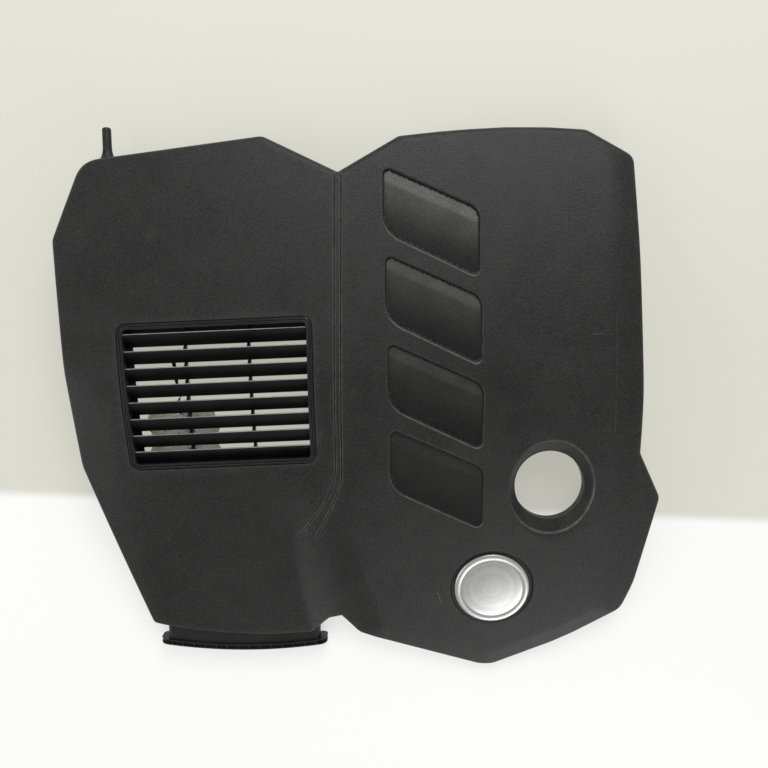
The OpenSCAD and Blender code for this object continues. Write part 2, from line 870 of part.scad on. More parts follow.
module vent_grille() {
    color("#1d1e1f") {
        difference() {
            union() {
                intersection() {
                    layer(0, vent_flange);
                    vent_band(0, vent_border);
                }
                intersection() {
                    layer(vent_flange / 2, vent_depth);
                    vent_band(vent_border - vent_wall, vent_border);
                }
            }
            // Shadow line in the frame's face
            difference() {
                vent_band(2.2, 3.4);
                under_crown(0.9);
            }
        }
        for (k = [0:slat_n - 1])
            slat(k);
        intersection() {
            for (k = [1:vent_rib_n])
                vent_rib(-vent_w / 2 + vent_w * k / (vent_rib_n + 1));
            layer(4, vent_depth - 1);
        }
        for (h = hook_spots)
            snap_hook(h[0], h[1]);
    }
}

// Blank badge: a plain domed disc with three pins that pass through the dish
dome = 1.1;
dome_r = (badge_d ^ 2 / 4 + dome ^ 2) / (2 * dome);
function dome_z(x) = badge_h - dome_r + sqrt(dome_r ^ 2 - x ^ 2);
module blank_badge() {
    rim = badge_d / 2 - 0.8;
    color("#c9cdd2")
        at_dish() {
            rotate_extrude($fn = 96)
                polygon(concat(
                    [[0, 0], [badge_d / 2 - 0.5, 0], [badge_d / 2, 0.5], [badge_d / 2, dome_z(rim) - 0.8]],
                    [for (i = [8:-1:0]) [rim * i / 8, dome_z(rim * i / 8)]]));
            for (p = badge_pins)
                translate([p[0], p[1], -badge_pin_reach])
                    cylinder(r = badge_pin_d / 2, h = badge_pin_reach + 0.5, $fn = 32);
        }
}

module badge_push_nuts() {
    color("#8d9094")
        at_dish()
            for (p = badge_pins)
                translate([p[0], p[1], -wall - 1.4])
                    difference() {
                        cylinder(r = 6.5, h = 1.4, $fn = 32);
                        translate([0, 0, -1])
                            cylinder(r = badge_pin_d / 2 + pin_fit, h = 4, $fn = 32);
                    }
}

// A box with round ends, standing across Y, for the duct's flange
module stadium(x0, x1, z0, z1, r, y0, y1) {
    translate([0, y1, 0])
        rotate([90, 0, 0])
            linear_extrude(y1 - y0)
                polygon(ring([[x0, z0, r], [x1, z0, r], [x1, z1, r], [x0, z1, r]], 0));
}
// The part of a bowed layer between two distances behind the flange's front
module bowed(from, to) {
    translate([duct_mid, bow_y, -20])
        difference() {
            cylinder(r = flange_bow_r - from, h = 80, $fn = big_fn);
            translate([0, 0, -1])
                cylinder(r = flange_bow_r - to, h = 82, $fn = big_fn);
        }
}
flange_x0 = duct_x0 - flange_ear;
flange_x1 = duct_x1 + flange_ear;
flange_z1 = duct_z1 + flange_lip;
module flange_block() {
    stadium(flange_x0, flange_x1, 0, flange_z1, flange_ear, flange_front - 6, flange_front + 60);
}
web_n = floor((duct_w - 8) / web_pitch);
module flange_webs() {
    for (i = [0:web_n])
        translate([duct_mid + (i - web_n / 2) * web_pitch - flange_t / 2, flange_front - 6, -1])
            cube([flange_t, 40, flange_z1 + 2]);
}

module intake_duct() {
    plates = 2 * flange_t + flange_gap;
    color("#191a1b")
        difference() {
            union() {
                intersection() {
                    flange_block();
                    bowed(0, flange_t);
                }
                intersection() {
                    flange_block();
                    bowed(flange_t + flange_gap, plates);
                }
                intersection() {
                    flange_block();
                    bowed(flange_t / 2, plates - flange_t / 2);
                    flange_webs();
                }
                intersection() {
                    stadium(duct_x0, duct_x1, duct_z0, duct_z1, 4, flange_front - 1, duct_back);
                    translate([duct_mid, bow_y, -1])
                        cylinder(r = flange_bow_r, h = 40, $fn = big_fn);
                }
                for (s = tab_spots)
                    translate([s[0] - tab_size / 2, s[1] - tab_size / 2, tab_z])
                        cube([tab_size, tab_size, duct_wall]);
            }
            stadium(duct_x0 + duct_wall, duct_x1 - duct_wall, duct_z0 + duct_wall, duct_z1 - duct_wall, 2,
                flange_front - 20, duct_back + 10);
            // Open roof at the back end, where the air leaves upwards
            translate([duct_x0 + 12, duct_back - 34, duct_z0 + duct_h / 2])
                cube([duct_w - 24, 60, 40]);
            for (s = tab_spots)
                translate([s[0], s[1], tab_z - 1])
                    cylinder(r = screw_d / 2 + fit, h = 10, $fn = 32);
        }
}

module duct_screws() {
    color("#7b7e80")
        for (s = tab_spots)
            translate([s[0], s[1], tab_z]) {
                difference() {
                    translate([0, 0, -2.4])
                        cylinder(r = 4.2, h = 2.4, $fn = 32);
                    translate([0, 0, -3])
                        cylinder(r = 1.8, h = 2, $fn = 6);
                }
                translate([0, 0, -0.2])
                    cylinder(r = screw_d / 2, h = duct_wall + screw_grip + 0.2, $fn = 32);
            }
}

// Rubber grommet: a lipped cup with a socket that snaps over a ball stud
module grommet(i) {
    s = grommet_spots[i];
    color("#0f0f10")
        translate([s[0], s[1], s[2]])
            rotate_extrude($fn = round_fn)
                difference() {
                    polygon([
                        [0, 0],
                        [grommet_d / 2 + 2, 0],
                        [grommet_d / 2 + 2, grommet_lip],
                        [grommet_d / 2, grommet_lip],
                        [grommet_d / 2, grommet_h - 1],
                        [grommet_d / 2 - 1, grommet_h],
                        [0, grommet_h]
                    ]);
                    translate([0, -1])
                        square([ball_d / 2, grommet_h - 4]);
                    translate([0, -1])
                        polygon([
                            [0, 0],
                            [ball_d / 2 + 2.4, 0],
                            [ball_d / 2 + 2.4, 1],
                            [0, ball_d / 2 + 3.4]
                        ]);
                }
}
module grommet_back_left() {
    grommet(0);
}
module grommet_back_right() {
    grommet(1);
}
module grommet_front_left() {
    grommet(2);
}
module grommet_front_right() {
    grommet(3);
}

// Foam pad: a slab that fills the room under the inner face to an even thickness
module foam_pad(corners) {
    color("#3a3b3d")
        difference() {
            intersection() {
                tall(ring(corners, 0));
                body(wall);
            }
            under_crown(wall + pad_t);
            stake_posts(stake_d + 2 * fit);
        }
}
module foam_pad_left() {
    foam_pad(pad_left_corners);
}
module foam_pad_right() {
    foam_pad(pad_right_corners);
}

module pad_washers() {
    color("#9a9da0")
        for (s = stakes)
            difference() {
                intersection() {
                    translate([s[0], s[1], 0])
                        cylinder(r = washer_d / 2, h = 120, $fn = 32);
                    under_crown(wall + pad_t);
                }
                under_crown(wall + pad_t + washer_t);
                translate([s[0], s[1], 0])
                    cylinder(r = stake_d / 2 + pin_fit, h = 120, $fn = 32);
            }
}

// The sub-parts are drawn about the filler hole and moved so that the cover's middle is the origin
module placed() {
    translate([-(x_left + x_right) / 2, -(y_front + y_back) / 2, 0])
        children();
}

placed() cover_shell();
placed() vent_grille();
placed() blank_badge();
placed() badge_push_nuts();
placed() intake_duct();
placed() duct_screws();
placed() grommet_back_left();
placed() grommet_back_right();
placed() grommet_front_left();
placed() grommet_front_right();
placed() foam_pad_left();
placed() foam_pad_right();
placed() pad_washers();
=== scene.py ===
# Looks, light and camera of the engine cover. Sizes are in millimetres until a mesh is made.
import math
import bpy
import numpy as np
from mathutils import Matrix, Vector
from mathutils.geometry import delaunay_2d_cdt


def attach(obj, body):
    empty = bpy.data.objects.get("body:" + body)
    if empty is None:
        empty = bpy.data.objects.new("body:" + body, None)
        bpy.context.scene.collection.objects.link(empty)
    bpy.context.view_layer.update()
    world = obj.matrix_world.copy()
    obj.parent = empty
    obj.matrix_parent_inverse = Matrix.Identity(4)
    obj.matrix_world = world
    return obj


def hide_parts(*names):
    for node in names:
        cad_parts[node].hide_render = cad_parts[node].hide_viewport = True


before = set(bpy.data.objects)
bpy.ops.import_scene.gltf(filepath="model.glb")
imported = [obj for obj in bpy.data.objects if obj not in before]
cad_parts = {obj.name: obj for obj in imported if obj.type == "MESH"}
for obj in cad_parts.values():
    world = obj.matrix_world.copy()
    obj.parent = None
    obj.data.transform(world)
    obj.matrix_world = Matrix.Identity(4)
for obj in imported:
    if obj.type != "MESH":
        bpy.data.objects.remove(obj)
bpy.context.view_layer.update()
print("frame loaded")

# The pieces are drawn about the filler hole's axis; the model's origin is the middle of the cover
shiftX, shiftY = 193.5, -75.5


def toWorld(points):
    return [((p[0] + shiftX) / 1000, (p[1] + shiftY) / 1000, p[2] / 1000) for p in points]


def newMesh(name, points, faces=()):
    # A mesh from points in metres
    mesh = bpy.data.meshes.new(name)
    mesh.from_pydata(points, [], [list(map(int, f)) for f in faces])
    mesh.update()
    return mesh


def inScene(name, data):
    thing = bpy.data.objects.new(name, data)
    bpy.context.scene.collection.objects.link(thing)
    return thing


def newPiece(name, verts, faces, material, sharp=35):
    mesh = newMesh(name, toWorld(verts), faces)
    mesh.materials.append(material)
    mesh.shade_smooth()
    if sharp:
        mesh.set_sharp_from_angle(angle=math.radians(sharp))
    return inScene(name, mesh)


def gathered(items, key, width, kind=float):
    # One row of numbers for each vertex, edge or point value
    rows = np.empty(len(items) * width, kind)
    items.foreach_get(key, rows)
    return rows.reshape(-1, width)


# Outline of the cover
cover = {
    "width": 620.0, "length": 580.0, "crown": 70.5, "wall": 3.0,
    "toRight": 116.5, "toFront": 214.5, "backRim": 12.0,
    "crestToBack": 264.0, "crestR": 330.0, "backR": 2170.0, "noseH": 16.4,
    "backTurn": 4.3, "frontTurn": 7.7, "flankToRight": 56.5, "flankFall": 12.0,
    "noseBevel": (16.0, 8.0), "edgeRoll": (4.0, 3.0), "lipBevel": (2.0, 1.5),
    "scoopDepth": 5.0, "scoopR": 90.0, "seamToLeft": 284.0,
    "edgeRound": 1.3, "edgeStep": 4.0, "noseDeep": 70.0, "crisp": 0.06,
}
wall = cover["wall"]
xRight = cover["toRight"]
xLeft = xRight - cover["width"]
yFront = -cover["toFront"]
yBack = yFront + cover["length"]
seamX = xLeft + cover["seamToLeft"]
crestY = yBack - cover["crestToBack"]
flankX = xRight - cover["flankToRight"]


def leftBack(x, y, r):
    return (xLeft + x, yBack - y, r)


def leftFront(x, y, r):
    return (xLeft + x, yFront + y, r)


def rightFront(x, y, r):
    return (xRight - x, yFront + y, r)


def rightBack(x, y, r):
    return (xRight - x, yBack - y, r)


outline = [
    (seamX, yBack - 45.5, 2), leftBack(208, 9.5, 14), leftBack(28.5, 34.5, 28), leftBack(0, 113.5, 14),
    leftFront(18.5, 236, 40), leftFront(78, 54, 5), leftFront(137.5, 43.5, 200), leftFront(198.5, 39.5, 200),
    leftFront(250.5, 43, 14), leftFront(270, 58.5, 6), (seamX, yFront + 61, 1), rightFront(316.5, 40, 16),
    rightFront(183.5, 0, 20), rightFront(167.5, 0, 18), rightFront(91.5, 34, 200), rightFront(30.5, 71.5, 18),
    rightFront(19, 101.5, 80), rightFront(-0.5, 200.5, 14), rightFront(26, 250.5, 10), rightBack(27, 265, 400),
    rightBack(32.5, 125, 800), rightBack(39, 30, 12), rightBack(86.5, 3, 18), rightBack(146.5, -0.5, 400),
    rightBack(220.5, 3.5, 500), rightBack(275, 9.5, 10),
]
leftRolled, rightRolled = (0, 1), (21, 22, 23, 24, 25)
noseEdges, lipEdges = (11, 13, 14, 15, 16), (5, 6, 7)


def unit(v):
    v = np.asarray(v, float)
    return v / np.linalg.norm(v)


def inwardOf(a, b):
    d = unit(b - a)
    return np.array([-d[1], d[0]])


def insetCorner(a, b, c, t):
    n, m = inwardOf(a, b), inwardOf(b, c)
    return b + (n + m) * t / (1 + n @ m)


def ring(corners, t, arcStep=9.0):
    # Closed outline with rounded corners, set inwards by t; the count of points doesn't depend on t
    base = [np.array(c[:2], float) for c in corners]
    count = len(base)
    pts = [insetCorner(base[i - 1], base[i], base[(i + 1) % count], t) for i in range(count)]
    out = []
    for i in range(count):
        a, b, c = pts[i - 1], pts[i], pts[(i + 1) % count]
        convex = (b - a)[0] * (c - b)[1] - (b - a)[1] * (c - b)[0] > 0
        r = max(0.4, corners[i][2] + (-t if convex else t))
        u, v = unit(a - b), unit(c - b)
        half = math.acos(max(-1, min(1, u @ v))) / 2
        o = b + unit(u + v) * r / math.sin(half)
        p, q = b + u * r / math.tan(half) - o, b + v * r / math.tan(half) - o
        start = math.atan2(p[1], p[0])
        turn = (math.atan2(q[1], q[0]) - start + math.pi) % (2 * math.pi) - math.pi
        steps = max(1, math.ceil(abs(math.degrees(turn)) / arcStep))
        for k in range(steps + 1):
            ang = start + turn * k / steps
            out.append(o + r * np.array([math.cos(ang), math.sin(ang)]))
    return np.array(out)


def splitCounts(loop, step):
    length = np.linalg.norm(np.roll(loop, -1, 0) - loop, axis=1)
    return np.maximum(1, np.ceil(length / step)).astype(int)


def splitLoop(loop, counts):
    nxt = np.roll(loop, -1, 0)
    return np.concatenate([a + (b - a) * (np.arange(n) / n)[:, None] for a, b, n in zip(loop, nxt, counts)])


def insetLoops(corners, insets, step, base=0):
    # A closed loop for each inset, all with as many points as the base's sides take
    counts = splitCounts(ring(corners, base), step)
    return [splitLoop(ring(corners, inset), counts) for inset in insets]


def segmentDistance(px, py, a, b):
    dx, dy = b[0] - a[0], b[1] - a[1]
    s = np.clip(((px - a[0]) * dx + (py - a[1]) * dy) / (dx * dx + dy * dy), 0, 1)
    return np.hypot(px - a[0] - s * dx, py - a[1] - s * dy)


def signedDistance(px, py, loop):
    # Negative inside the loop
    best = np.full(px.shape, 1e9)
    inside = np.zeros(px.shape, bool)
    for a, b in zip(loop, np.roll(loop, -1, 0)):
        dx, dy = b - a
        if dx * dx + dy * dy < 1e-12:
            continue
        best = np.minimum(best, segmentDistance(px, py, a, b))
        cross = (a[1] > py) != (b[1] > py)
        if cross.any():
            with np.errstate(divide="ignore", invalid="ignore"):
                xs = a[0] + (py - a[1]) * dx / (dy if dy else 1e-12)
            inside ^= cross & (px < xs)
    return np.where(inside, -best, best)


def lineDistance(px, py, line):
    best = np.full(px.shape, 1e9)
    for a, b in zip(line[:-1], line[1:]):
        best = np.minimum(best, segmentDistance(px, py, a, b))
    return best


def smoothMin(a, b, k):
    h = np.clip(k - np.abs(a - b), 0, None) / k
    return np.minimum(a, b) - h * h * k / 4


def ease(v):
    v = np.clip(v, 0, 1)
    return v * v * (3 - 2 * v)


def circle(n):
    # The unit circle's points in plan
    a = 2 * math.pi * np.arange(n) / n
    return np.stack([np.cos(a), np.sin(a)], 1)


# The crown and what is cut into it
def sinD(a):
    return math.sin(math.radians(a))


def cosD(a):
    return math.cos(math.radians(a))


crestC = np.array([crestY, cover["crown"] - cover["crestR"]])
backC = crestC - (cover["backR"] - cover["crestR"]) * np.array([sinD(cover["backTurn"]), cosD(cover["backTurn"])])
frontDir = np.array([-sinD(cover["frontTurn"]), cosD(cover["frontTurn"])])
frontStart = crestC + cover["crestR"] * frontDir
frontChord = frontStart - np.array([yFront, cover["noseH"]])
cover["frontR"] = np.linalg.norm(frontChord) / 2 / sinD(
    math.degrees(math.atan2(frontChord[1], frontChord[0])) - cover["frontTurn"])
frontC = crestC - (cover["frontR"] - cover["crestR"]) * frontDir
backJoin = crestY + cover["crestR"] * sinD(cover["backTurn"])
frontJoin = crestY - cover["crestR"] * sinD(cover["frontTurn"])


crownArcs = np.array([(*backC, cover["backR"]), (*crestC, cover["crestR"]), (*frontC, cover["frontR"])])


def crownArc(y):
    # Middle along Y, its height and the radius of the arc that the crown follows at y
    which = (np.asarray(y) <= backJoin) * 1 + (np.asarray(y) <= frontJoin)
    return np.moveaxis(crownArcs[which], -1, 0)


def crownAt(y, t=0.0):
    middle, height, r = crownArc(y)
    return height + np.sqrt((r - t) ** 2 - (y - middle) ** 2)


def edgeLoop(t):
    # The outline set in by t, with crisp corners where the duct's opening starts and ends
    loop, guide = insetLoops(outline, (t, 0), cover["edgeStep"])
    for x in (ductX0 - ductOpt["clear"], ductX1 + ductOpt["clear"]):
        i = next(k for k in range(len(guide) - 1)
                 if guide[k][1] < yFront + cover["noseDeep"] and (guide[k][0] - x) * (guide[k + 1][0] - x) <= 0)
        a, b = loop[i].copy(), loop[i + 1].copy()
        slope = (b[1] - a[1]) / (b[0] - a[0])
        for k, at in ((i, x - cover["crisp"]), (i + 1, x + cover["crisp"])):
            loop[k] = (at, a[1] + slope * (at - a[0]))
    return loop


def crownZ(y):
    return float(crownAt(np.array([y]))[0])


def crownTilt(y):
    middle, _, r = crownArc(y)
    return math.degrees(math.asin((y - middle) / r))


def rightFlank(x, y, t):
    f = cover["flankFall"]
    h = cover["crown"]
    return h + (crownAt(y, t) - h) / cosD(f) - (x - flankX) * sinD(f) / cosD(f)


creaseFront = np.array([xLeft + 91.5, yFront + 56.5])
creaseBack = np.array([xLeft + 51.5, yFront + 282.5])
creaseMid = (creaseFront + creaseBack) / 2
creaseDir = unit(creaseBack - creaseFront)


def turnMatrix(axis, degrees):
    a = np.append(axis, 0.0) if len(axis) == 2 else np.asarray(axis, float)
    c, s = cosD(degrees), sinD(degrees)
    k = np.array([[0, -a[2], a[1]], [a[2], 0, -a[0]], [-a[1], a[0], 0]])
    return np.eye(3) * c + s * k + (1 - c) * np.outer(a, a)


def leftFlank(x, y, t):
    m = np.array([creaseMid[0], creaseMid[1], crownZ(creaseMid[1])])
    back = turnMatrix(creaseDir, -cover["flankFall"]).T
    p = np.stack([x - m[0], y - m[1], np.full_like(x, -m[2])])
    a = back @ p.reshape(3, -1)
    ay, az = a[1].reshape(x.shape) + m[1] - frontC[0], a[2].reshape(x.shape) + m[2] - frontC[1]
    by, bz = back[1, 2], back[2, 2]
    qa, qb, qc = by * by + bz * bz, 2 * (by * ay + bz * az), ay * ay + az * az - (cover["frontR"] - t) ** 2
    return (-qb + np.sqrt(np.maximum(qb * qb - 4 * qa * qc, 0))) / (2 * qa)


def bevelPlane(index, size, t):
    a, b = (np.array(outline[index][:2]), np.array(outline[(index + 1) % len(outline)][:2]))
    n2 = inwardOf(a, b)
    w, drop = size
    p, q = a + n2 * w, b + n2 * w
    along = np.array([q[0] - p[0], q[1] - p[1], crownZ(q[1]) - crownZ(p[1])])
    down = np.array([-n2[0] * w, -n2[1] * w, -drop])
    n = unit(-np.cross(along, down))
    foot = np.array([p[0], p[1], crownZ(p[1])]) - t * n
    return foot, n


def planeZ(x, y, foot, n):
    return foot[2] - (n[0] * (x - foot[0]) + n[1] * (y - foot[1])) / n[2]


scoopTop = np.array([seamX - 30, yFront + 176])
scoopEnd = np.array([seamX - 2, yFront + 61])


def scoopFloor(x, y, t):
    z0 = crownZ(scoopTop[1]) + cover["scoopR"]
    z1 = crownZ(scoopEnd[1]) - cover["scoopDepth"] + cover["scoopR"]
    u = unit([scoopEnd[0] - scoopTop[0], scoopEnd[1] - scoopTop[1], z1 - z0])
    wx, wy = x - scoopTop[0], y - scoopTop[1]
    r = cover["scoopR"] + t
    # |w|^2 - (w.u)^2 = r^2, solved for the lower height
    flat = wx * u[0] + wy * u[1]
    qa = 1 - u[2] ** 2
    qb = -2 * flat * u[2]
    qc = wx * wx + wy * wy - flat * flat - r * r
    disc = qb * qb - 4 * qa * qc
    z = (-qb - np.sqrt(np.maximum(disc, 0))) / (2 * qa) + z0
    return np.where(disc > 0, z, 1e3)


recess = {
    "n": 4, "pitch": 87.2, "step": 2.4, "w": 97.0, "hLeft": 66.0, "hRight": 69.5, "fall": 42.5,
    "depth": 2.4, "bandW": 11.0, "bandDrop": 1.6, "toSeam": 93.5, "toBack": 94.5,
    "reachX": 60.0, "reachY": 66.0,
}


def middleOf(c):
    # Middle of a recess, from its corners
    return (c[0][0] + c[2][0]) / 2, (c[0][1] + c[2][1]) / 2


def recessCorners(i):
    ox = seamX + recess["toSeam"] + recess["step"] * i
    oy = yBack - recess["toBack"] - recess["pitch"] * i
    left, right = ox - recess["w"] / 2, ox + recess["w"] / 2
    top = oy + (recess["fall"] + (recess["hLeft"] + recess["hRight"]) / 2) / 2
    return [(left, top, 6), (left, top - recess["hLeft"], 30),
            (right, top - recess["fall"] - recess["hRight"], 6), (right, top - recess["fall"], 17)]


filler = {"d": 73.0, "w": 88.0, "l": 102.0, "depth": 12.0, "collar": 13.0, "ledge": 0.5, "reach": 75.0,
          "sides": 96}
fillerZ = crownZ(0) - filler["depth"]


def funnelZ(x, y, t):
    # Height of the funnel's face over a plan point, from a loft between the hole and an oval
    r0 = filler["d"] / 2 + filler["ledge"] + t
    over = 1.5
    gx = (filler["w"] - filler["d"]) * over / 2
    gy = (filler["l"] - filler["d"]) * over / 2
    lo, hi = np.full(x.shape, -1.0), np.full(x.shape, 2.5)
    for _ in range(26):
        mid = (lo + hi) / 2
        f = (x / (r0 + gx * mid)) ** 2 + (y / (r0 + gy * mid)) ** 2
        lo, hi = np.where(f > 1, mid, lo), np.where(f > 1, hi, mid)
    s = np.maximum((lo + hi) / 2, 0)
    sinP = y / (r0 + gy * s)
    tilt = math.tan(math.radians(-crownTilt(0) * over))
    rise = filler["depth"] * over + (r0 + gy) * sinP * tilt
    return fillerZ - t + s * rise


ventOpt = {
    "w": 193.0, "l": 150.0, "taper": 6.0, "turn": 2.5, "toLeft": 163.5, "toCrest": 3.5,
    "border": 6.0, "flange": 3.0, "depth": 17.0, "slats": 8, "pitch": 17.2, "gap": 2.8, "slatT": 2.2,
    "ribs": 2, "ribT": 3.0, "wall": 2.2, "slatTop": 2.0, "slatDrop": 12.0, "fit": 0.3,
    "firstSlat": 11.5, "reachX": 115.0, "reachY": 95.0,
}
slatReach, slatLow = (ventOpt["pitch"] - ventOpt["gap"]) / 2, -ventOpt["slatTop"] - ventOpt["slatDrop"]
ventC = np.array([xLeft + ventOpt["toLeft"], crestY - ventOpt["toCrest"]])
ventRight = np.array([cosD(ventOpt["turn"]), sinD(ventOpt["turn"])])
ventUp = np.array([-sinD(ventOpt["turn"]), cosD(ventOpt["turn"])])


def ventPoint(u, v):
    return ventC + u * ventRight + v * ventUp


def ventHalf(v):
    return ventOpt["w"] / 2 + ventOpt["taper"] / 2 * v / ventOpt["l"]


def ventOnCrown(u, v, rise=0.0):
    x, y = ventPoint(u, v)
    return x, y, crownZ(y) + rise


def slatV(k):
    # Middle of a slat, from the vent's middle towards its back
    return ventOpt["l"] / 2 - ventOpt["border"] - ventOpt["firstSlat"] - ventOpt["pitch"] * k


def ventCorners(inset, r):
    v = ventOpt["l"] / 2 - inset
    a, b = ventHalf(v) - inset, ventHalf(-v) - inset
    return [(*ventPoint(p[0], p[1]), r) for p in ((-a, v), (-b, -v), (b, -v), (a, v))]


ventFrame = ventCorners(0, 10)

badge = {"d": 80.0, "h": 3.6, "dishD": 89.0, "dishTurn": 2.5, "x": -57.0, "y": -116.0, "dome": 1.1, "pinR": 26.0}
badgePins = [(badge["pinR"] * cosD(a), badge["pinR"] * sinD(a)) for a in (90, 210, 330)]
dishAngle = -crownTilt(badge["y"]) - badge["dishTurn"]
dishSink = badge["dishD"] / 2 * math.tan(math.radians(badge["dishTurn"]))
dishN = np.array([0, -sinD(dishAngle), cosD(dishAngle)])
dishC = np.array([badge["x"], badge["y"], crownZ(badge["y"])]) - dishSink * dishN

seam = {"strip": 6.4, "depth": 1.3, "half": 0.85, "slope": 0.45}
seamHalf = seam["strip"] / 2
leftGroove = [(seamX - seamHalf, yBack), (seamX - seamHalf, yFront + 227), (seamX - 13, yFront + 200),
              (seamX - 28, yFront + 178), (seamX - 42, yFront + 162)]
rightGroove = [(seamX + seamHalf, yBack), (seamX + seamHalf, yFront + 220), (seamX - 8, yFront + 192),
               (seamX - 19, yFront + 170), (seamX - 26, yFront + 156)]


def softBend(a, b, c, r, steps, spare=0.0):
    # Points of a soft bend at b; spare adds one more on each side, that much further out
    a, b, c = (np.array(p, float) for p in (a, b, c))
    u, v = unit(a - b), unit(c - b)
    reach = min(r, np.linalg.norm(a - b) / 2.2, np.linalg.norm(c - b) / 2.2)
    p, q = b + u * reach, b + v * reach
    bend = [p * (1 - s) ** 2 + 2 * b * s * (1 - s) + q * s * s for s in (k / steps for k in range(steps + 1))]
    return [b + u * (reach + spare)] + bend + [b + v * (reach + spare)] if spare else bend


def smoothLine(line):
    # Rounds the bends of an open line
    bends = [softBend(*abc, 14.0, 6) for abc in zip(line[:-2], line[1:-1], line[2:])]
    return [np.array(line[0], float)] + sum(bends, []) + [np.array(line[-1], float)]


leftGroove, rightGroove = smoothLine(leftGroove), smoothLine(rightGroove)
leftPlanes = [(i, cover["edgeRoll"]) for i in leftRolled] + [(i, cover["lipBevel"]) for i in lipEdges]
rightPlanes = [(i, cover["edgeRoll"]) for i in rightRolled] + [(i, cover["noseBevel"]) for i in noseEdges]


def ventDistance(x, y):
    # Distance to the vent's seat in the face, negative inside it
    return signedDistance(x, y, ring(ventFrame, -ventOpt["fit"]))


def dishDistance(x, y):
    return np.hypot(x - dishC[0], (y - dishC[1]) / cosD(dishAngle)) - badge["dishD"] / 2


def stepInside(sd, t, width):
    # 1 well inside a boundary that is set outwards by t, 0 outside it
    return ease((t - sd) / width + 0.15)


# How softly one face of the cover runs into the next, and how wide each step's wall is
soft = {
    "flank": 2.5, "bevel": 0.9, "scoop": 2.0, "band": 0.25, "funnel": 1.6,
    "recessStep": 0.8, "dishStep": 0.5, "ventStep": 0.25,
}


def coverTop(x, y, t=0.0, rounded=True):
    # Height of the outer face, or of the inner one with t set to the wall
    x, y = np.asarray(x, float), np.asarray(y, float)
    z = crownAt(y, t)
    left = x < seamX
    z = smoothMin(z, np.where(left, leftFlank(x, y, t), rightFlank(x, y, t)), soft["flank"])
    for side, planes in ((left, leftPlanes), (~left, rightPlanes)):
        for index, size in planes:
            foot, n = bevelPlane(index, size, t)
            z = np.where(side, smoothMin(z, planeZ(x, y, foot, n), soft["bevel"]), z)
    z = smoothMin(z, scoopFloor(x, y, t), soft["scoop"])
    for i in range(recess["n"]):
        c = recessCorners(i)
        midX, midY = middleOf(c)
        near = (np.abs(x - midX) < recess["reachX"] + t) & (np.abs(y - midY) < recess["reachY"] + t)
        if not near.any():
            continue
        xs, ys = x[near], y[near]
        sd = signedDistance(xs, ys, ring(c, 0))
        a, b = np.array(c[3][:2]), np.array(c[0][:2])
        inward = inwardOf(a, b)
        behind = recess["bandW"] - ((xs - a[0]) * inward[0] + (ys - a[1]) * inward[1])
        extra = smoothMin(np.zeros_like(behind), -behind / recess["bandW"] * recess["bandDrop"], soft["band"])
        z[near] = z[near] - (recess["depth"] - extra) * stepInside(sd, t, soft["recessStep"])
    near = np.hypot(x, y) < filler["reach"]
    if near.any():
        z[near] = smoothMin(z[near], funnelZ(x[near], y[near], t), soft["funnel"])
    sd = dishDistance(x, y)
    floor = planeZ(x, y, dishC - t * dishN, dishN)
    z = z - np.maximum(z - floor, 0) * stepInside(sd, t, soft["dishStep"])
    near = (np.abs(x - ventC[0]) < ventOpt["reachX"]) & (np.abs(y - ventC[1]) < ventOpt["reachY"])
    if near.any():
        sd = ventDistance(x[near], y[near])
        z[near] = z[near] - ventOpt["flange"] * stepInside(sd, t, soft["ventStep"])
    if t == 0:
        for line in (leftGroove, rightGroove):
            d = lineDistance(x, y, line)
            z = z - seam["depth"] * ease((seam["half"] - d) / seam["slope"])
    if rounded and t == 0:
        r = cover["edgeRound"]
        sd = signedDistance(x, y, outlineRing)
        q = np.clip(r + sd, 0, r)
        z = z - (r - np.sqrt(np.maximum(r * r - q * q, 0)))
    return z


def faceSlope(x, y, e):
    # How steeply the outer face rises along X and along Y
    return [(coverTop(x + a, y + b) - coverTop(x - a, y - b)) / (2 * e) for a, b in ((e, 0.0), (0.0, e))]


outlineRing = ring(outline, 0)
rimTilt = math.atan(cover["backRim"] / cover["length"])
archH, archR, archY = 30.0, 300.0, crestY - 14
ductOpt = {
    "toLeft": 91.5, "w": 168.0, "h": 17.0, "l": 118.0, "wall": 2.2, "lip": 2.5, "clear": 1.5,
}
ductX0 = xLeft + ductOpt["toLeft"]
ductX1 = ductX0 + ductOpt["w"]
ductZ0 = ductOpt["lip"]
ductZ1 = ductZ0 + ductOpt["h"]
flangeFront = yFront + 21


def rimZ(x, y):
    plane = (y - yFront) * math.tan(rimTilt)
    reach = archR ** 2 - (y - archY) ** 2
    arch = (archY - yFront) * math.tan(rimTilt) + archH - archR + np.sqrt(np.maximum(reach, 0))
    low = np.maximum(plane, np.where(reach > 0, arch, -1e3))
    inDuct = (x > ductX0 - ductOpt["clear"]) & (x < ductX1 + ductOpt["clear"]) & (y < flangeFront + 60)
    return np.where(inDuct, ductZ1 + ductOpt["clear"], low)


class MeshParts:
    # Collects vertices and faces of one mesh; a corner may bring its own normal
    def __init__(self):
        self.verts, self.faces, self.normals = [], [], []

    def run(self, points):
        # Adds points and says which they are
        base = len(self.verts)
        self.verts.extend([tuple(map(float, p)) for p in points])
        return list(range(base, len(self.verts)))

    def add(self, verts, faces, normals=None):
        base = len(self.verts)
        self.run(verts)
        for f in faces:
            self.faces.append([base + i for i in f])
            self.normals.extend([tuple(normals[i]) if normals is not None else (0.0, 0.0, 0.0) for i in f])
        return base

    def face(self, corners):
        # A face whose corners take the mesh's own normals
        self.faces.append(corners)
        self.normals.extend([(0.0, 0.0, 0.0)] * len(corners))


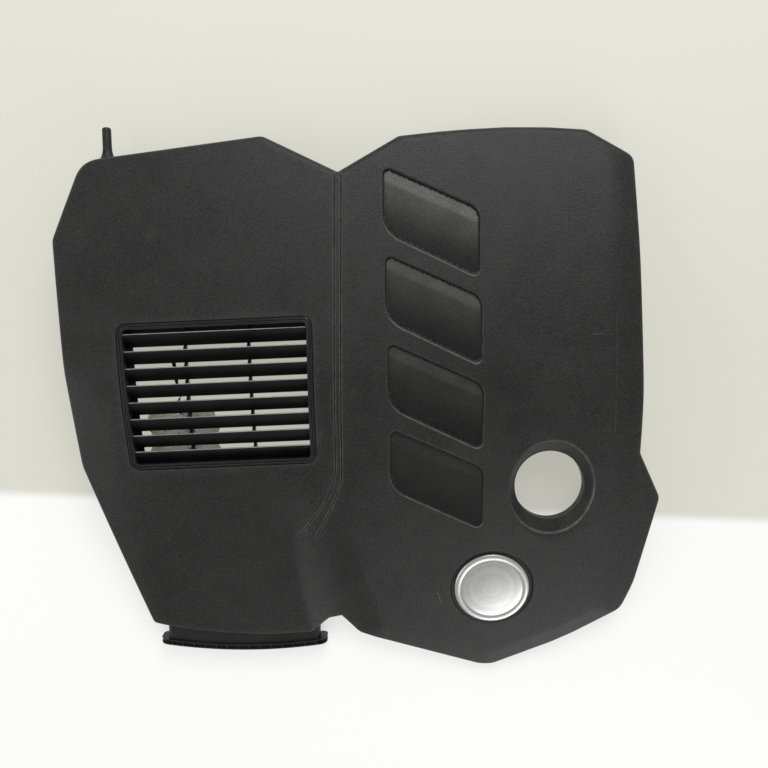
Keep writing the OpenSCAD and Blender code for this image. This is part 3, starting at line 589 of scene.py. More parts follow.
def triangulate(loops, lines, points, keep):
    # Constrained triangulation in plan; returns plan vertices, triangles, and where each loop vertex went
    coords, edges, starts = [], [], []
    for loop in loops:
        s = len(coords)
        starts.append((s, len(loop)))
        coords.extend(loop)
        edges.extend([(s + i, s + (i + 1) % len(loop)) for i in range(len(loop))])
    for line in lines:
        s = len(coords)
        coords.extend(line)
        edges.extend([(s + i, s + i + 1) for i in range(len(line) - 1)])
    coords.extend(points)
    out = delaunay_2d_cdt([Vector((float(p[0]), float(p[1]))) for p in coords], edges, [], 0, 1e-5, True)
    verts = np.array([(v[0], v[1]) for v in out[0]])
    tris = np.array([f for f in out[2] if len(f) == 3])
    a, b, c = (verts[tris[:, k]] for k in range(3))
    area = (b[:, 0] - a[:, 0]) * (c[:, 1] - a[:, 1]) - (b[:, 1] - a[:, 1]) * (c[:, 0] - a[:, 0])
    tris = tris[np.abs(area) > 2e-6]
    mid = verts[tris].mean(axis=1)
    tris = tris[keep(mid[:, 0], mid[:, 1])]
    where = {}
    for new, olds in enumerate(out[3]):
        for old in olds:
            where[old] = new
    maps = [[where[s + i] for i in range(n)] for s, n in starts]
    return verts, tris, maps


# Rings of the face's mesh, as distances from each step, for the outer face (True) and the inner one (False)
faceRings = {
    True: {"recess": (1.6, 0.12, -0.1, -0.32, -0.68, -2.2), "dish": (1.2, 0.08, -0.15, -0.4, -1.6),
           "vent": (1.2, 0.05, -0.22), "recessStep": 3.0, "dishSides": 110, "grid": 7.5, "clear": 4.0},
    False: {"recess": (0.5, -0.8), "dish": (0.3, -0.6), "vent": (0.2, -0.4), "recessStep": 6.0, "dishSides": 64,
            "grid": 10.0, "clear": 3.0},
    "funnel": (0.12, 0.3, 0.5, 0.7, 0.86, 1.0, 1.14, 1.3), "edge": (20, 40, 62, 90), "edgeLast": 2.6,
    "groove": (-1.6, -0.85, -0.62, -0.4, 0.4, 0.62, 0.85, 1.6), "loopStep": 6.0, "bendGrid": 2.6, "bend": 0.05,
}


def gridPoints(step, loops, lines, clear, inside):
    xs = np.arange(xLeft + 2, xRight, step)
    ys = np.arange(yFront + 2, yBack, step)
    gx, gy = np.meshgrid(xs, ys)
    gx = gx + (np.arange(len(ys)) % 2)[:, None] * step / 2
    gx, gy = gx.ravel(), gy.ravel()
    ok = inside(gx, gy)
    gx, gy = gx[ok], gy[ok]
    far = np.full(gx.shape, 1e9)
    for loop in loops:
        far = np.minimum(far, np.abs(signedDistance(gx, gy, loop)))
    for line in lines:
        far = np.minimum(far, lineDistance(gx, gy, line))
    ok = far > clear
    return gx[ok], gy[ok]


def shellLoops(t, fine):
    # Boundary loops of a face at wall offset t, and the inner loops that carry its steps
    out, face, fit = [], faceRings[fine], ventOpt["fit"]
    for i in range(recess["n"]):
        out += insetLoops(recessCorners(i), [-(t + d) for d in face["recess"]], face["recessStep"])
    for d in face["dish"]:
        a = np.linspace(0, 2 * math.pi, face["dishSides"], endpoint=False)
        r = badge["dishD"] / 2 + t + d
        out.append(np.stack([dishC[0] + r * np.cos(a), dishC[1] + r * np.sin(a) * cosD(dishAngle)], 1))
    return out + insetLoops(ventFrame, [-fit - t - d for d in face["vent"]], faceRings["loopStep"], -fit)


def clippedLines(lines, inset, step):
    out = []
    for line in lines:
        pts = [np.array(line[0], float)]
        for a, b in zip(line[:-1], line[1:]):
            a, b = np.array(a, float), np.array(b, float)
            n = max(1, math.ceil(np.linalg.norm(b - a) / step))
            pts.extend([a + (b - a) * k / n for k in range(1, n + 1)])
        pts = np.array(pts)
        sd = signedDistance(pts[:, 0], pts[:, 1], outlineRing)
        kept = pts[sd < -inset]
        if len(kept) > 1:
            out.append(kept)
    return out


def offsetLine(line, d):
    pts = [np.array(p, float) for p in line]
    out = []
    for i in range(len(pts)):
        a, c = pts[max(i - 1, 0)], pts[min(i + 1, len(pts) - 1)]
        out.append(pts[i] + inwardOf(a, c) * d)
    return out


def addSkin(parts, verts, tris, z, normals=None):
    # Adds a triangulated face at the heights z; returns where each of its vertices went
    used = np.unique(tris)
    order = {int(v): i for i, v in enumerate(used)}
    base = parts.add([(*verts[v], z[v]) for v in used], [[order[int(v)] for v in f] for f in tris],
                     None if normals is None else normals[used])
    return {v: base + i for v, i in order.items()}


def skinMesh(parts, t, fine):
    # One face of the shell, outer (t = 0) or inner (t = wall); returns its boundary runs
    fillerLoop = (filler["d"] / 2 + t) * circle(filler["sides"])
    ventLoopBase = ring(ventFrame, ventOpt["border"] - ventOpt["wall"] - ventOpt["fit"])
    ventLoop = splitLoop(ventLoopBase, splitCounts(ventLoopBase, faceRings["loopStep"]))
    r = cover["edgeRound"]
    outer = edgeLoop(t)
    border = [outer]
    if fine:
        border += [edgeLoop(r * (1 - cosD(a))) for a in faceRings["edge"]] + [edgeLoop(faceRings["edgeLast"])]
    inner = shellLoops(t, fine)
    funnelLoops, lines = [], []
    if fine:
        for s in faceRings["funnel"]:
            rx = filler["d"] / 2 + (filler["w"] - filler["d"]) / 2 * s
            ry = filler["d"] / 2 + (filler["l"] - filler["d"]) / 2 * s
            funnelLoops.append(circle(filler["sides"]) * (rx, ry))
        for line in (leftGroove, rightGroove):
            for d in faceRings["groove"]:
                lines.append(offsetLine(line, d))
        lines = clippedLines(lines, 2.9, 3.5)
    loops = [fillerLoop, ventLoop] + border + inner + funnelLoops

    def keep(x, y):
        return ((signedDistance(x, y, outer) < -0.001) & (signedDistance(x, y, ventLoopBase) > 0.001)
                & (np.hypot(x, y) > filler["d"] / 2 + t - 0.05))

    def inside(x, y):
        return (signedDistance(x, y, outer) < -faceRings[fine]["clear"]) & keep(x, y)

    gx, gy = gridPoints(faceRings[fine]["grid"], loops, lines, 2.2, inside)
    pts = list(zip(gx, gy))
    if fine:
        # Extra points where the face bends
        e = faceRings["bendGrid"] / 2
        fx, fy = gridPoints(faceRings["bendGrid"], loops, lines, e, inside)
        mid = coverTop(fx, fy, t, False)
        bend = (np.abs(coverTop(fx + e, fy, t, False) + coverTop(fx - e, fy, t, False) - 2 * mid)
                + np.abs(coverTop(fx, fy + e, t, False) + coverTop(fx, fy - e, t, False) - 2 * mid))
        ok = bend > faceRings["bend"]
        pts.extend(zip(fx[ok], fy[ok]))
    verts, tris, maps = triangulate(loops, lines, pts, keep)
    z = coverTop(verts[:, 0], verts[:, 1], t)
    z = np.where(np.hypot(verts[:, 0], verts[:, 1]) < filler["d"] / 2 + t + 0.01, fillerZ - t, z)
    normals = None
    if fine:
        dx, dy = faceSlope(verts[:, 0], verts[:, 1], 0.12)
        normals = np.stack([-dx, -dy, np.ones_like(dx)], 1)
        normals /= np.linalg.norm(normals, axis=1)[:, None]
        # Normals of the rounded edge turn from level at the skirt to the face's own
        count = len(outer)
        nxt, prv = np.roll(outer, -1, 0), np.roll(outer, 1, 0)
        tang = nxt - prv
        outward = np.stack([tang[:, 1], -tang[:, 0]], 1)
        outward /= np.linalg.norm(outward, axis=1)[:, None]
        for level, ang in enumerate((0,) + faceRings["edge"][:-1]):
            ids = maps[2 + level]
            up = normals[maps[2 + len(faceRings["edge"])]]
            side = np.concatenate([outward, np.zeros((count, 1))], 1)
            n = side * cosD(ang) + up * sinD(ang)
            normals[ids] = n / np.linalg.norm(n, axis=1)[:, None]
    if t > 0:
        tris = tris[:, ::-1]
    place = addSkin(parts, verts, tris, z, normals)
    return {key: [place[v] for v in run] for key, run in zip(("filler", "vent", "edge"), maps)}


def joinRuns(parts, a, b, flip=False):
    n = len(a)
    for i in range(n):
        j = (i + 1) % n
        f = [a[i], a[j], b[j], b[i]]
        parts.face(f[::-1] if flip else f)


def joinAll(parts, runs, flip=False, capped=False):
    # Joins each run to the next; capped closes the first and the last one
    for a, b in zip(runs[:-1], runs[1:]):
        joinRuns(parts, a, b, flip)
    if capped:
        parts.face(runs[0] if flip else runs[0][::-1])
        parts.face(runs[-1][::-1] if flip else runs[-1])


def addRun(parts, loop, z):
    return parts.run([(*p, h) for p, h in zip(loop, np.broadcast_to(z, (len(loop),)))])


# Ribs, towers and posts under the face
fixings = {
    "towers": [(xLeft + 66, yBack - 82, 0), (xRight - 78, yBack - 66, 0),
               (xLeft + 58, yFront + 176, 8), (xRight - 62, yFront + 122, 6)],
    "grommetD": 24.0, "grommetH": 16.0, "lip": 2.5, "socketWall": 2.6, "fit": 0.3,
    "ribT": 2.0, "ribH": 11.0, "tabZ": 17.3, "bossD": 9.0, "stakeD": 5.0, "stakeReach": 6.0, "padT": 9.0,
    "ribTip": 1.5, "ribStep": 2.0, "ribLeast": 1.2,
}
ribXs = [xLeft + 22, xLeft + 58, ventC[0] + 112, seamX, seamX + 20, flankX - 94, flankX - 28, flankX]
ribYs = [yFront + 60, yFront + 122, yFront + 176, crestY - 94, crestY, crestY + 88, yBack - 116, yBack - 52]
padLeft = [(ventC[0] - 70, yBack - 66, 12), (ventC[0] - 74, crestY + 94, 12),
           (seamX - 22, crestY + 100, 12), (seamX - 22, yBack - 72, 12)]
padX0, padX1 = seamX + 26, -filler["w"] / 2 - 14


def padX(share):
    return padX0 + share * (padX1 - padX0)


padRight = [(padX0, yBack - 66, 14), (padX0, yFront + 140, 14), (padX(0.66), yFront + 120, 14),
            (padX(0.96), crestY - 10, 14), (padX1, yBack - 66, 14)]
stakesLeft = [(ventC[0] - 50, yBack - 88), (ventC[0] + 12, yBack - 120), (seamX - 44, yBack - 94),
              (ventC[0] - 50, crestY + 118), (seamX - 44, crestY + 122)]
stakesRight = [(padX(0.15), yBack - 86), (padX(0.8), yBack - 90), (padX(0.15), crestY + 50),
               (padX(0.72), crestY + 18), (padX(0.15), yFront + 190), (padX(0.44), yFront + 158)]
ductBack = flangeFront + ductOpt["l"]
tabOut = 6.0
tabSpots = [(x, y) for x in (ductX0 - tabOut, ductX1 + tabOut) for y in (ductBack - 16, ductBack - 66)]
socketR = fixings["grommetD"] / 2 + fixings["fit"] + fixings["socketWall"]


def insideTop(x, y):
    return coverTop(np.atleast_1d(x), np.atleast_1d(y), wall / 2, False)


def lathe(parts, x, y, profile, segments, capped=True):
    # A turned solid about a vertical axis; a ring without a height ends on the inside of the face
    runs = []
    for r, z in profile:
        loop = circle(segments) * r + (x, y)
        runs.append(addRun(parts, loop, insideTop(loop[:, 0], loop[:, 1]) if z is None else z))
    joinAll(parts, runs, capped=capped)
    return runs


def plate(parts, line, low, thick, tip=None):
    # An upright rib along a line of plan points, from the heights in low up into the face
    line = np.asarray(line, float)
    low = np.array(np.broadcast_to(low, (len(line),)), float)
    ok = signedDistance(line[:, 0], line[:, 1], outlineRing) < -wall * 0.6
    line, low = line[ok], low[ok]
    if len(line) < 2:
        return
    tip = thick if tip is None else tip
    d = np.gradient(line, axis=0)
    n = np.stack([-d[:, 1], d[:, 0]], 1)
    n /= np.linalg.norm(n, axis=1)[:, None]
    top = insideTop(line[:, 0], line[:, 1])
    low = np.minimum(low, top - 0.8)
    runs = []
    for side, half, z in ((1, thick, top), (1, tip, low + 0.5), (1, tip - 0.7, low), (-1, tip - 0.7, low),
                          (-1, tip, low + 0.5), (-1, thick, top)):
        runs.append(addRun(parts, line + n * side * half / 2, z))
    count = len(line)
    for a, b in zip(runs, runs[1:] + runs[:1]):
        for i in range(count - 1):
            parts.face([a[i], a[i + 1], b[i + 1], b[i]])
    parts.face([r[0] for r in runs])
    parts.face([r[-1] for r in runs[::-1]])


def ribAllowed(x, y):
    ok = signedDistance(x, y, outlineRing) < -wall / 2
    ok &= signedDistance(x, y, ring(padLeft, -1)) > 0
    ok &= signedDistance(x, y, ring(padRight, -1)) > 0
    ok &= signedDistance(x, y, ring(ventFrame, -wall - 1)) > 0
    ok &= np.hypot(x, y) > filler["l"] / 2 + wall
    for px, py in badgePins:
        ok &= np.hypot(x - badge["x"] - px, y - badge["y"] - py) > 10
    for tx, ty, _ in fixings["towers"]:
        ok &= np.hypot(x - tx, y - ty) > socketR - 1
    return ok


def addRibs(parts):
    f = fixings
    lines = [[(x, y) for y in np.arange(yFront, yBack, f["ribStep"])] for x in ribXs]
    lines += [[(x, y) for x in np.arange(xLeft, xRight, f["ribStep"])] for y in ribYs]
    for line in lines:
        line = np.array(line)
        x, y = line[:, 0], line[:, 1]
        low = crownAt(y, wall + f["ribH"])
        inBox = (x > ductX0 - 16) & (x < ductX1 + 16) & (y < ductBack + 4)
        low = np.where(inBox, np.maximum(low, ductZ1 + 2), low)
        ok = ribAllowed(x, y) & (insideTop(x, y) - low > f["ribLeast"])
        edge = np.flatnonzero(np.diff(np.concatenate([[0], ok.astype(int), [0]])))
        for a, b in zip(edge[::2], edge[1::2]):
            if b - a > 3:
                keep = sorted(set(list(range(a, b, 3)) + [b - 1]))
                plate(parts, line[keep], low[keep], f["ribT"], f["ribTip"])


def addTowers(parts):
    f = fixings
    for tx, ty, tz in f["towers"]:
        z0 = tz + f["lip"]
        inner = f["grommetD"] / 2 + f["fit"]
        runs = lathe(parts, tx, ty, [(inner, None), (inner, z0 + 0.3), (inner + 0.4, z0), (socketR - 0.4, z0),
                                     (socketR, z0 + 0.4), (socketR, None)], 48, False)
        joinRuns(parts, runs[-1], runs[0])
        for ang in (0, 90):
            d = np.array([cosD(ang), sinD(ang)])
            mid = np.array([tx, ty])
            s = np.linspace(-socketR + 1, socketR - 1, 7)
            plate(parts, mid + s[:, None] * d, tz + f["grommetH"], f["ribT"])
            for side in (-1, 1):
                s = np.linspace(socketR - 1, socketR + 8, 10) * side
                if side < 0:
                    s = s[::-1]
                low = z0 + f["grommetH"] / 2 + np.abs(s - side * socketR) * 0.8
                plate(parts, mid + s[:, None] * d, low, f["ribT"])
    bosses = [(x, y, f["bossD"] / 2, f["tabZ"] + 2.2, 0.5, 28) for x, y in tabSpots]
    bosses += [(x, y, f["stakeD"] / 2, float(crownAt(y, wall + f["padT"] + f["stakeReach"])), 0.6, 24)
               for x, y in stakesLeft + stakesRight]
    for x, y, r, z, bevel, segments in bosses:
        lathe(parts, x, y, [(r - bevel, z), (r, z + bevel), (r, None)], segments)


peg = {"x": xLeft + 50, "z": 29.0, "y": yBack - 32, "d": 9.0, "reach": 32.0}


def addPeg(parts):
    r = peg["d"] / 2
    end = peg["reach"]
    profile = [(r + 3.5, -1.5), (r + 3.5, 0.4), (r + 2.9, 1.0), (r + 1.6, 3.5), (r + 0.7, 6.5), (r + 0.2, 9.5),
               (r, 12), (r, end - 2.6), (r - 0.25, end - 1.5), (r - 0.9, end - 0.6), (r - 1.9, end - 0.1),
               (r - 2.8, end)]
    runs = [parts.run([(peg["x"] + rad * c, peg["y"] + d, peg["z"] + rad * s) for c, s in circle(40)])
            for rad, d in profile]
    joinAll(parts, runs, True, True)


def around(d, middle, width):
    # 1 where a distance is at its middle, falling off over the width
    return np.exp(-((d - middle) / width) ** 2)


def edgeRubAndHighlight(verts):
    # 1 on the outer edges that hands and tools touch, and on the painted highlights of the recesses' lower lips, the
    # vent seat's rim, the filler rim's lower right side and the grooves' rims; 0 away from them
    x, y, z = verts.T
    out = 0.9 * np.exp(-np.abs(signedDistance(x, y, outlineRing)) / 0.8)
    for i in range(recess["n"]):
        loop = ring(recessCorners(i), 0)
        sd = signedDistance(x, y, loop)
        # A recess's lower lip gets more: a painted highlight
        lower = np.clip((signedDistance(x, y - 0.5, loop) - sd) / 0.5, 0, 1)
        out = np.maximum(out, (0.25 + 0.75 * lower) * around(sd, 0.1, 0.7))
    # Painted highlight round the vent's seat
    out = np.maximum(out, 0.8 * around(ventDistance(x, y), 0.3, 0.6))
    out = np.maximum(out, 0.3 * around(dishDistance(x, y), 0.2, 0.6))
    # Painted highlight round the filler's oval, strongest on its lower right side
    oval = (np.hypot(x / (filler["w"] / 2), y / (filler["l"] / 2)) - 1) * filler["w"] / 2
    side = np.clip(0.5 + (x - y) / np.maximum(np.hypot(x, y), 1) / 2, 0, 1)
    out = np.maximum(out, (0.2 + 0.8 * side) * around(oval, 0, 0.9))
    # Painted highlight lines along the grooves' rims
    for line in (leftGroove, rightGroove):
        out = np.maximum(out, 0.75 * around(lineDistance(x, y, line), 0.9, 0.4))
    return out * (z > coverTop(x, y, 0.0, False) - 3.2)


def edgeDirtAndShade(verts):
    # 1 in the inner corners, along the recesses' walls, round the vent's seat and the dish, and in the grooves: painted
    # shade, with some dust
    x, y, z = verts.T
    out = np.zeros(len(x))
    for i in range(recess["n"]):
        out = np.maximum(out, around(signedDistance(x, y, ring(recessCorners(i), 0)), -0.75, 0.55))
    sd = ventDistance(x, y)
    out = np.maximum(out, (sd < 0.1) * (sd > -1.5))
    out = np.maximum(out, 0.9 * around(dishDistance(x, y), -0.6, 0.8))
    for line in (leftGroove, rightGroove):
        out = np.maximum(out, 0.2 * (lineDistance(x, y, line) < 0.5))
    return out * (z > coverTop(x, y, 0.0, False) - 3.2)


def buildShell(material):
    parts = MeshParts()
    top, low = skinMesh(parts, 0.0, True), skinMesh(parts, wall, False)
    print("cover faces:", len(parts.faces))
    # Skirt, its lower edge and its inner side
    loops = {t: edgeLoop(t) for t in (0.0, 0.5, wall - 0.5, wall)}
    zTop = np.array([parts.verts[i][2] for i in top["edge"]])
    rim = rimZ(loops[0.0][:, 0], loops[0.0][:, 1])
    rows = [(0.0, zTop - drop) for drop in (0.8, 2.2)]
    rows += [(0.0, zTop + (rim + 0.5 - zTop) * share) for share in (0.33, 0.66)]
    rows += [(0.0, rim + 0.5), (0.5, rim), (wall - 0.5, rim), (wall, rim + 0.5)]
    joinAll(parts, [top["edge"]] + [addRun(parts, loops[t], z) for t, z in rows] + [low["edge"]], True)
    # Collar round the filler hole
    r, z0 = filler["d"] / 2, fillerZ - filler["collar"]
    collar = [(r, fillerZ - 0.8), (r, z0 + 0.5), (r + 0.5, z0), (r + wall - 0.5, z0), (r + wall, z0 + 0.5)]
    rows = [addRun(parts, circle(filler["sides"]) * radius, z) for radius, z in collar]
    joinAll(parts, [top["filler"]] + rows + [low["filler"]])
    joinRuns(parts, top["vent"], low["vent"])
    addRibs(parts)
    addTowers(parts)
    addPeg(parts)
    piece = newPiece("coverShell", parts.verts, parts.faces, material, sharp=None)
    for key, values in (("rub", edgeRubAndHighlight), ("dirt", edgeDirtAndShade)):
        layer = piece.data.attributes.new(key, "FLOAT", "POINT")
        layer.data.foreach_set("value", values(np.array(parts.verts)))
    piece.data.set_sharp_from_angle(angle=math.radians(38))
    piece.data.normals_split_custom_set(parts.normals)
    return piece


def plainObject(name, verts, faces):
    # A mesh in its own small frame, to be repeated; it isn't part of the model itself
    return inScene(name, newMesh(name, [tuple(c * 0.001 for c in v) for v in verts], faces))


def makeRepeatTree():
    # Sets one prototype on every point; each point carries its turn and its stretch
    tree = bpy.data.node_groups.new("setOnPoints", "GeometryNodeTree")
    for name, kind in (("Points", "Geometry"), ("Prototype", "Object"), ("Finish", "Material"), ("Scale", "Float")):
        tree.interface.new_socket(name, in_out="INPUT", socket_type="NodeSocket" + kind)
    tree.interface.new_socket("Pieces", in_out="OUTPUT", socket_type="NodeSocketGeometry")
    nodes, links = tree.nodes, tree.links
    start, end = nodes.new("NodeGroupInput"), nodes.new("NodeGroupOutput")

    def carried(attribute):
        node = nodes.new("GeometryNodeInputNamedAttribute")
        node.data_type = "FLOAT_VECTOR"
        node.inputs["Name"].default_value = attribute
        return next(s for s in node.outputs if s.enabled and s.name == "Attribute")

    turn, size, info, onPoints, real, finish = [nodes.new(kind) for kind in (
        "FunctionNodeEulerToRotation", "ShaderNodeVectorMath", "GeometryNodeObjectInfo", "GeometryNodeInstanceOnPoints",
        "GeometryNodeRealizeInstances", "GeometryNodeSetMaterial")]
    size.operation = "SCALE"
    for output, node, key in (
            (carried("turn"), turn, 0), (start.outputs["Prototype"], info, "Object"),
            (start.outputs["Points"], onPoints, "Points"), (info.outputs["Geometry"], onPoints, "Instance"),
            (turn.outputs[0], onPoints, "Rotation"), (size.outputs[0], onPoints, "Scale"),
            (carried("stretch"), size, 0), (start.outputs["Scale"], size, "Scale"),
            (onPoints.outputs[0], real, 0), (real.outputs[0], finish, "Geometry"),
            (start.outputs["Finish"], finish, "Material"), (finish.outputs[0], end, 0)):
        links.new(output, node.inputs[key])
    return tree


repeatTree = makeRepeatTree()


def repeated(name, prototype, places, turns, material, smoothAngle=35, stretches=None):
    # Runs the tree on one host mesh and keeps the plain mesh that comes out
    stretches = stretches or [(1, 1, 1)] * len(places)
    host = newMesh(name + "Points", toWorld(places))
    for key, rows in (("turn", turns), ("stretch", stretches)):
        layer = host.attributes.new(key, "FLOAT_VECTOR", "POINT")
        layer.data.foreach_set("vector", np.asarray(rows, float).ravel())
    piece = inScene(name, host)
    modifier = piece.modifiers.new("setOnPoints", "NODES")
    modifier.node_group = repeatTree
    given = {"Prototype": prototype, "Finish": material, "Scale": 1.0}
    for item in repeatTree.interface.items_tree:
        if item.item_type == "SOCKET" and item.in_out == "INPUT" and item.name in given:
            modifier[item.identifier] = given[item.name]
    graph = bpy.context.evaluated_depsgraph_get()
    mesh = bpy.data.meshes.new_from_object(piece.evaluated_get(graph), depsgraph=graph)
    piece.modifiers.clear()
    piece.data = mesh
    mesh.name = name
    for key in ("turn", "stretch"):
        if key in mesh.attributes:
            mesh.attributes.remove(mesh.attributes[key])
    mesh.shade_smooth()
    mesh.set_sharp_from_angle(angle=math.radians(smoothAngle))
    bpy.data.objects.remove(prototype)
    return piece


def joined(name, pieces):
    # One object out of several, with their material slots kept
    out = pieces[0]
    with bpy.context.temp_override(active_object=out, object=out, selected_objects=pieces,
                                   selected_editable_objects=pieces):
        bpy.ops.object.join()
    out.name = name
    out.data.name = name
    return out


# The louvred vent: a frame that follows the crown, slats, two cross ribs and six snap hooks
def profileRing(parts, corners, profile, step=5.0):
    # A closed frame; each point of its section is an inset and a height against the crown
    loops = insetLoops(corners, [inset for inset, _ in profile], step)
    runs = [addRun(parts, loop, crownAt(loop[:, 1]) + rise) for loop, (_, rise) in zip(loops, profile)]
    joinAll(parts, runs + runs[:1])


def roundedSection(points, radius, steps=3):
    # A closed section with its corners rounded
    trios = zip(points[-1:] + points[:-1], points, points[1:] + points[:1])
    return sum([softBend(*abc, radius, steps, 0.3) for abc in trios], [])


def sectionAlongX(section, half=500.0):
    # A section in Y-Z, drawn out along X from -half to half, closed at both ends
    n = len(section)
    verts = [(x, p[0], p[1]) for x in (-half, half) for p in section]
    faces = [(i, (i + 1) % n, n + (i + 1) % n, n + i) for i in range(n)]
    faces += [tuple(range(n - 1, -1, -1)), tuple(range(n, 2 * n))]
    area = sum(section[i][0] * section[(i + 1) % n][1] - section[(i + 1) % n][0] * section[i][1] for i in range(n))
    return verts, (faces if area > 0 else [f[::-1] for f in faces])


def ventSlats(material):
    o = ventOpt
    section = roundedSection([(slatReach, -o["slatTop"]), (slatReach - o["slatT"], -o["slatTop"]),
                              (-slatReach, slatLow + 1.76), (-slatReach, slatLow), (-slatReach + 1.32, slatLow),
                              (slatReach, -o["slatTop"] - o["slatT"])], 0.55)
    prototype = plainObject("slatPrototype", *sectionAlongX(section))
    places, turns, stretches = [], [], []
    for k in range(o["slats"]):
        v = slatV(k)
        places.append(ventOnCrown(0, v))
        turns.append((0, 0, math.radians(o["turn"])))
        stretches.append((2 * (ventHalf(v) - o["border"] + o["wall"] / 2) / 1000, 1, 1))
    return repeated("ventSlats", prototype, places, turns, material, stretches=stretches)


slatHighlight = {"endSlack": 0.3, "wide": 0.7, "above": 0.2, "frameDeep": 1.4}


def highlightSlatEdges(piece):
    # Below the frame's face only the slats' upper back edges are marked, for a painted highlight line along each
    o, w = ventOpt, slatHighlight
    mesh = piece.data
    co = gathered(mesh.vertices, "co", 3) * 1000 - np.array([shiftX + ventC[0], shiftY + ventC[1], 0])
    u, v = co[:, :2] @ ventRight, co[:, :2] @ ventUp
    middle = slatV(np.clip(np.rint((slatV(0) - v) / o["pitch"]), 0, o["slats"] - 1))
    drop = co[:, 2] - crownAt(ventC[1] + middle * ventUp[1])
    end = np.abs(ventHalf(v) - np.abs(u) - o["border"] + o["wall"] / 2) < w["endSlack"]
    edge = end & (v - middle > slatReach - w["wide"]) & (drop > -o["slatTop"] - w["wide"])
    edge &= drop < -o["slatTop"] + w["above"]
    layer = mesh.attributes["rub"].data
    rub = gathered(layer, "value", 1)[:, 0]
    below = co[:, 2] - crownAt(co[:, 1] + ventC[1]) < -w["frameDeep"]
    layer.foreach_set("value", np.where(edge, 1.0, np.where(below | end, 0.0, rub)))
    print("worn slat points:", int(edge.sum()))
    return piece


def ventCrossRibs(parts):
    # Each rib runs under the slats and shows only in the gaps between them
    o = ventOpt
    for k in range(1, o["ribs"] + 1):
        u = -o["w"] / 2 + o["w"] * k / (o["ribs"] + 1)
        top = [(-o["l"] / 2 + o["border"] - 1, slatLow + 4)]
        for i in reversed(range(o["slats"])):
            front, back = slatV(i) - slatReach, slatV(i) + slatReach
            top += [(front - 0.3, slatLow + 2.5), (front + 0.3, slatLow + 0.6),
                    (back - 0.8, -o["slatTop"] - o["slatT"] - 0.3), (back - 0.1, slatLow + 5)]
        top.append((o["l"] / 2 - o["border"] + 1, slatLow + 6))
        rows = []
        for side in (-1, 1):
            for level in (0, 1):
                rows.append([ventOnCrown(u + side * o["ribT"] / 2, v, z if level else -o["depth"] + 1)
                             for v, z in top])
        n = len(top)
        verts = rows[0] + rows[1] + rows[3] + rows[2]
        faces = []
        for a in range(4):
            b = (a + 1) % 4
            faces += [(a * n + i, a * n + i + 1, b * n + i + 1, b * n + i) for i in range(n - 1)]
        faces += [(0, n, 2 * n, 3 * n), (4 * n - 1, 3 * n - 1, 2 * n - 1, n - 1)]
        parts.add(verts, [f[::-1] for f in faces])


blank = {"low": -15.8, "high": -14.5, "leftWide": 6.0, "into": 0.4, "rows": 10}


def ventBlanks(parts):
    # The slot behind the first slat and the left ends of the gaps are closed low down
    o = ventOpt
    inner, top = o["border"] - blank["into"], o["l"] / 2 - o["border"] + blank["into"]
    firstBack = slatV(0) + slatReach
    bars = [[(-ventHalf(v) + inner, ventHalf(v) - inner, v) for v in (firstBack - 0.7, top)]]
    bars.append([(-ventHalf(v) + inner, -ventHalf(v) + inner + blank["leftWide"], v)
                 for v in np.linspace(-top, firstBack - 0.8, blank["rows"])])
    for rows in bars:
        verts = []
        for u0, u1, v in rows:
            verts += [ventOnCrown(u, v, blank[z])
                      for u, z in ((u0, "low"), (u1, "low"), (u1, "high"), (u0, "high"))]
        faces = [(4 * k + i, 4 * k + 4 + i, 4 * k + 4 + (i + 1) % 4, 4 * k + (i + 1) % 4)
                 for k in range(len(rows) - 1) for i in range(4)]
        end = 4 * len(rows) - 4
        parts.add(verts, faces + [(0, 1, 2, 3), (end + 3, end + 2, end + 1, end)])


hook = {"section": [(-1, -6.7), (2, -6.9), (2, -8.0), (-1, -12)], "round": 0.35, "half": 5.0, "spots": (44, 0, -44)}


def ventHooks(material):
    section = roundedSection(hook["section"], hook["round"], 2)
    prototype = plainObject("hookPrototype", *sectionAlongX(section, hook["half"]))
    places, turns = [], []
    for side in (-1, 1):
        for v in hook["spots"]:
            places.append(ventOnCrown(side * (ventHalf(v) - ventOpt["border"] + ventOpt["wall"]), v))
            turns.append((0, 0, math.radians(ventOpt["turn"] + (-90 if side > 0 else 90))))
    return repeated("ventHooks", prototype, places, turns, material)


def buildVent(material):
    parts = MeshParts()
    profileRing(parts, ventFrame, [
        (0.3, -3.0), (0.02, -2.7), (0.02, -1.3), (0.2, -0.62), (0.6, -0.2), (1.15, 0.0), (1.75, 0.02), (2.15, -0.08),
        (2.4, -0.4), (2.5, -1.2), (3.15, -1.2), (3.25, -0.45), (3.5, -0.12), (3.95, 0.0), (5.0, -0.04), (5.5, -0.22),
        (5.8, -0.6), (5.95, -1.2), (6.0, -2.2), (6.0, -2.9), (6.0, -16.0), (6.0, -16.6), (5.6, -17.0), (4.2, -17.0),
        (3.8, -16.6), (3.8, -3.5), (3.4, -3.0)])
    ventCrossRibs(parts)
    ventBlanks(parts)
    frameRing = newPiece("ventFrameRing", parts.verts, parts.faces, material)
    return joined("ventGrille", [frameRing, ventSlats(material), ventHooks(material)])


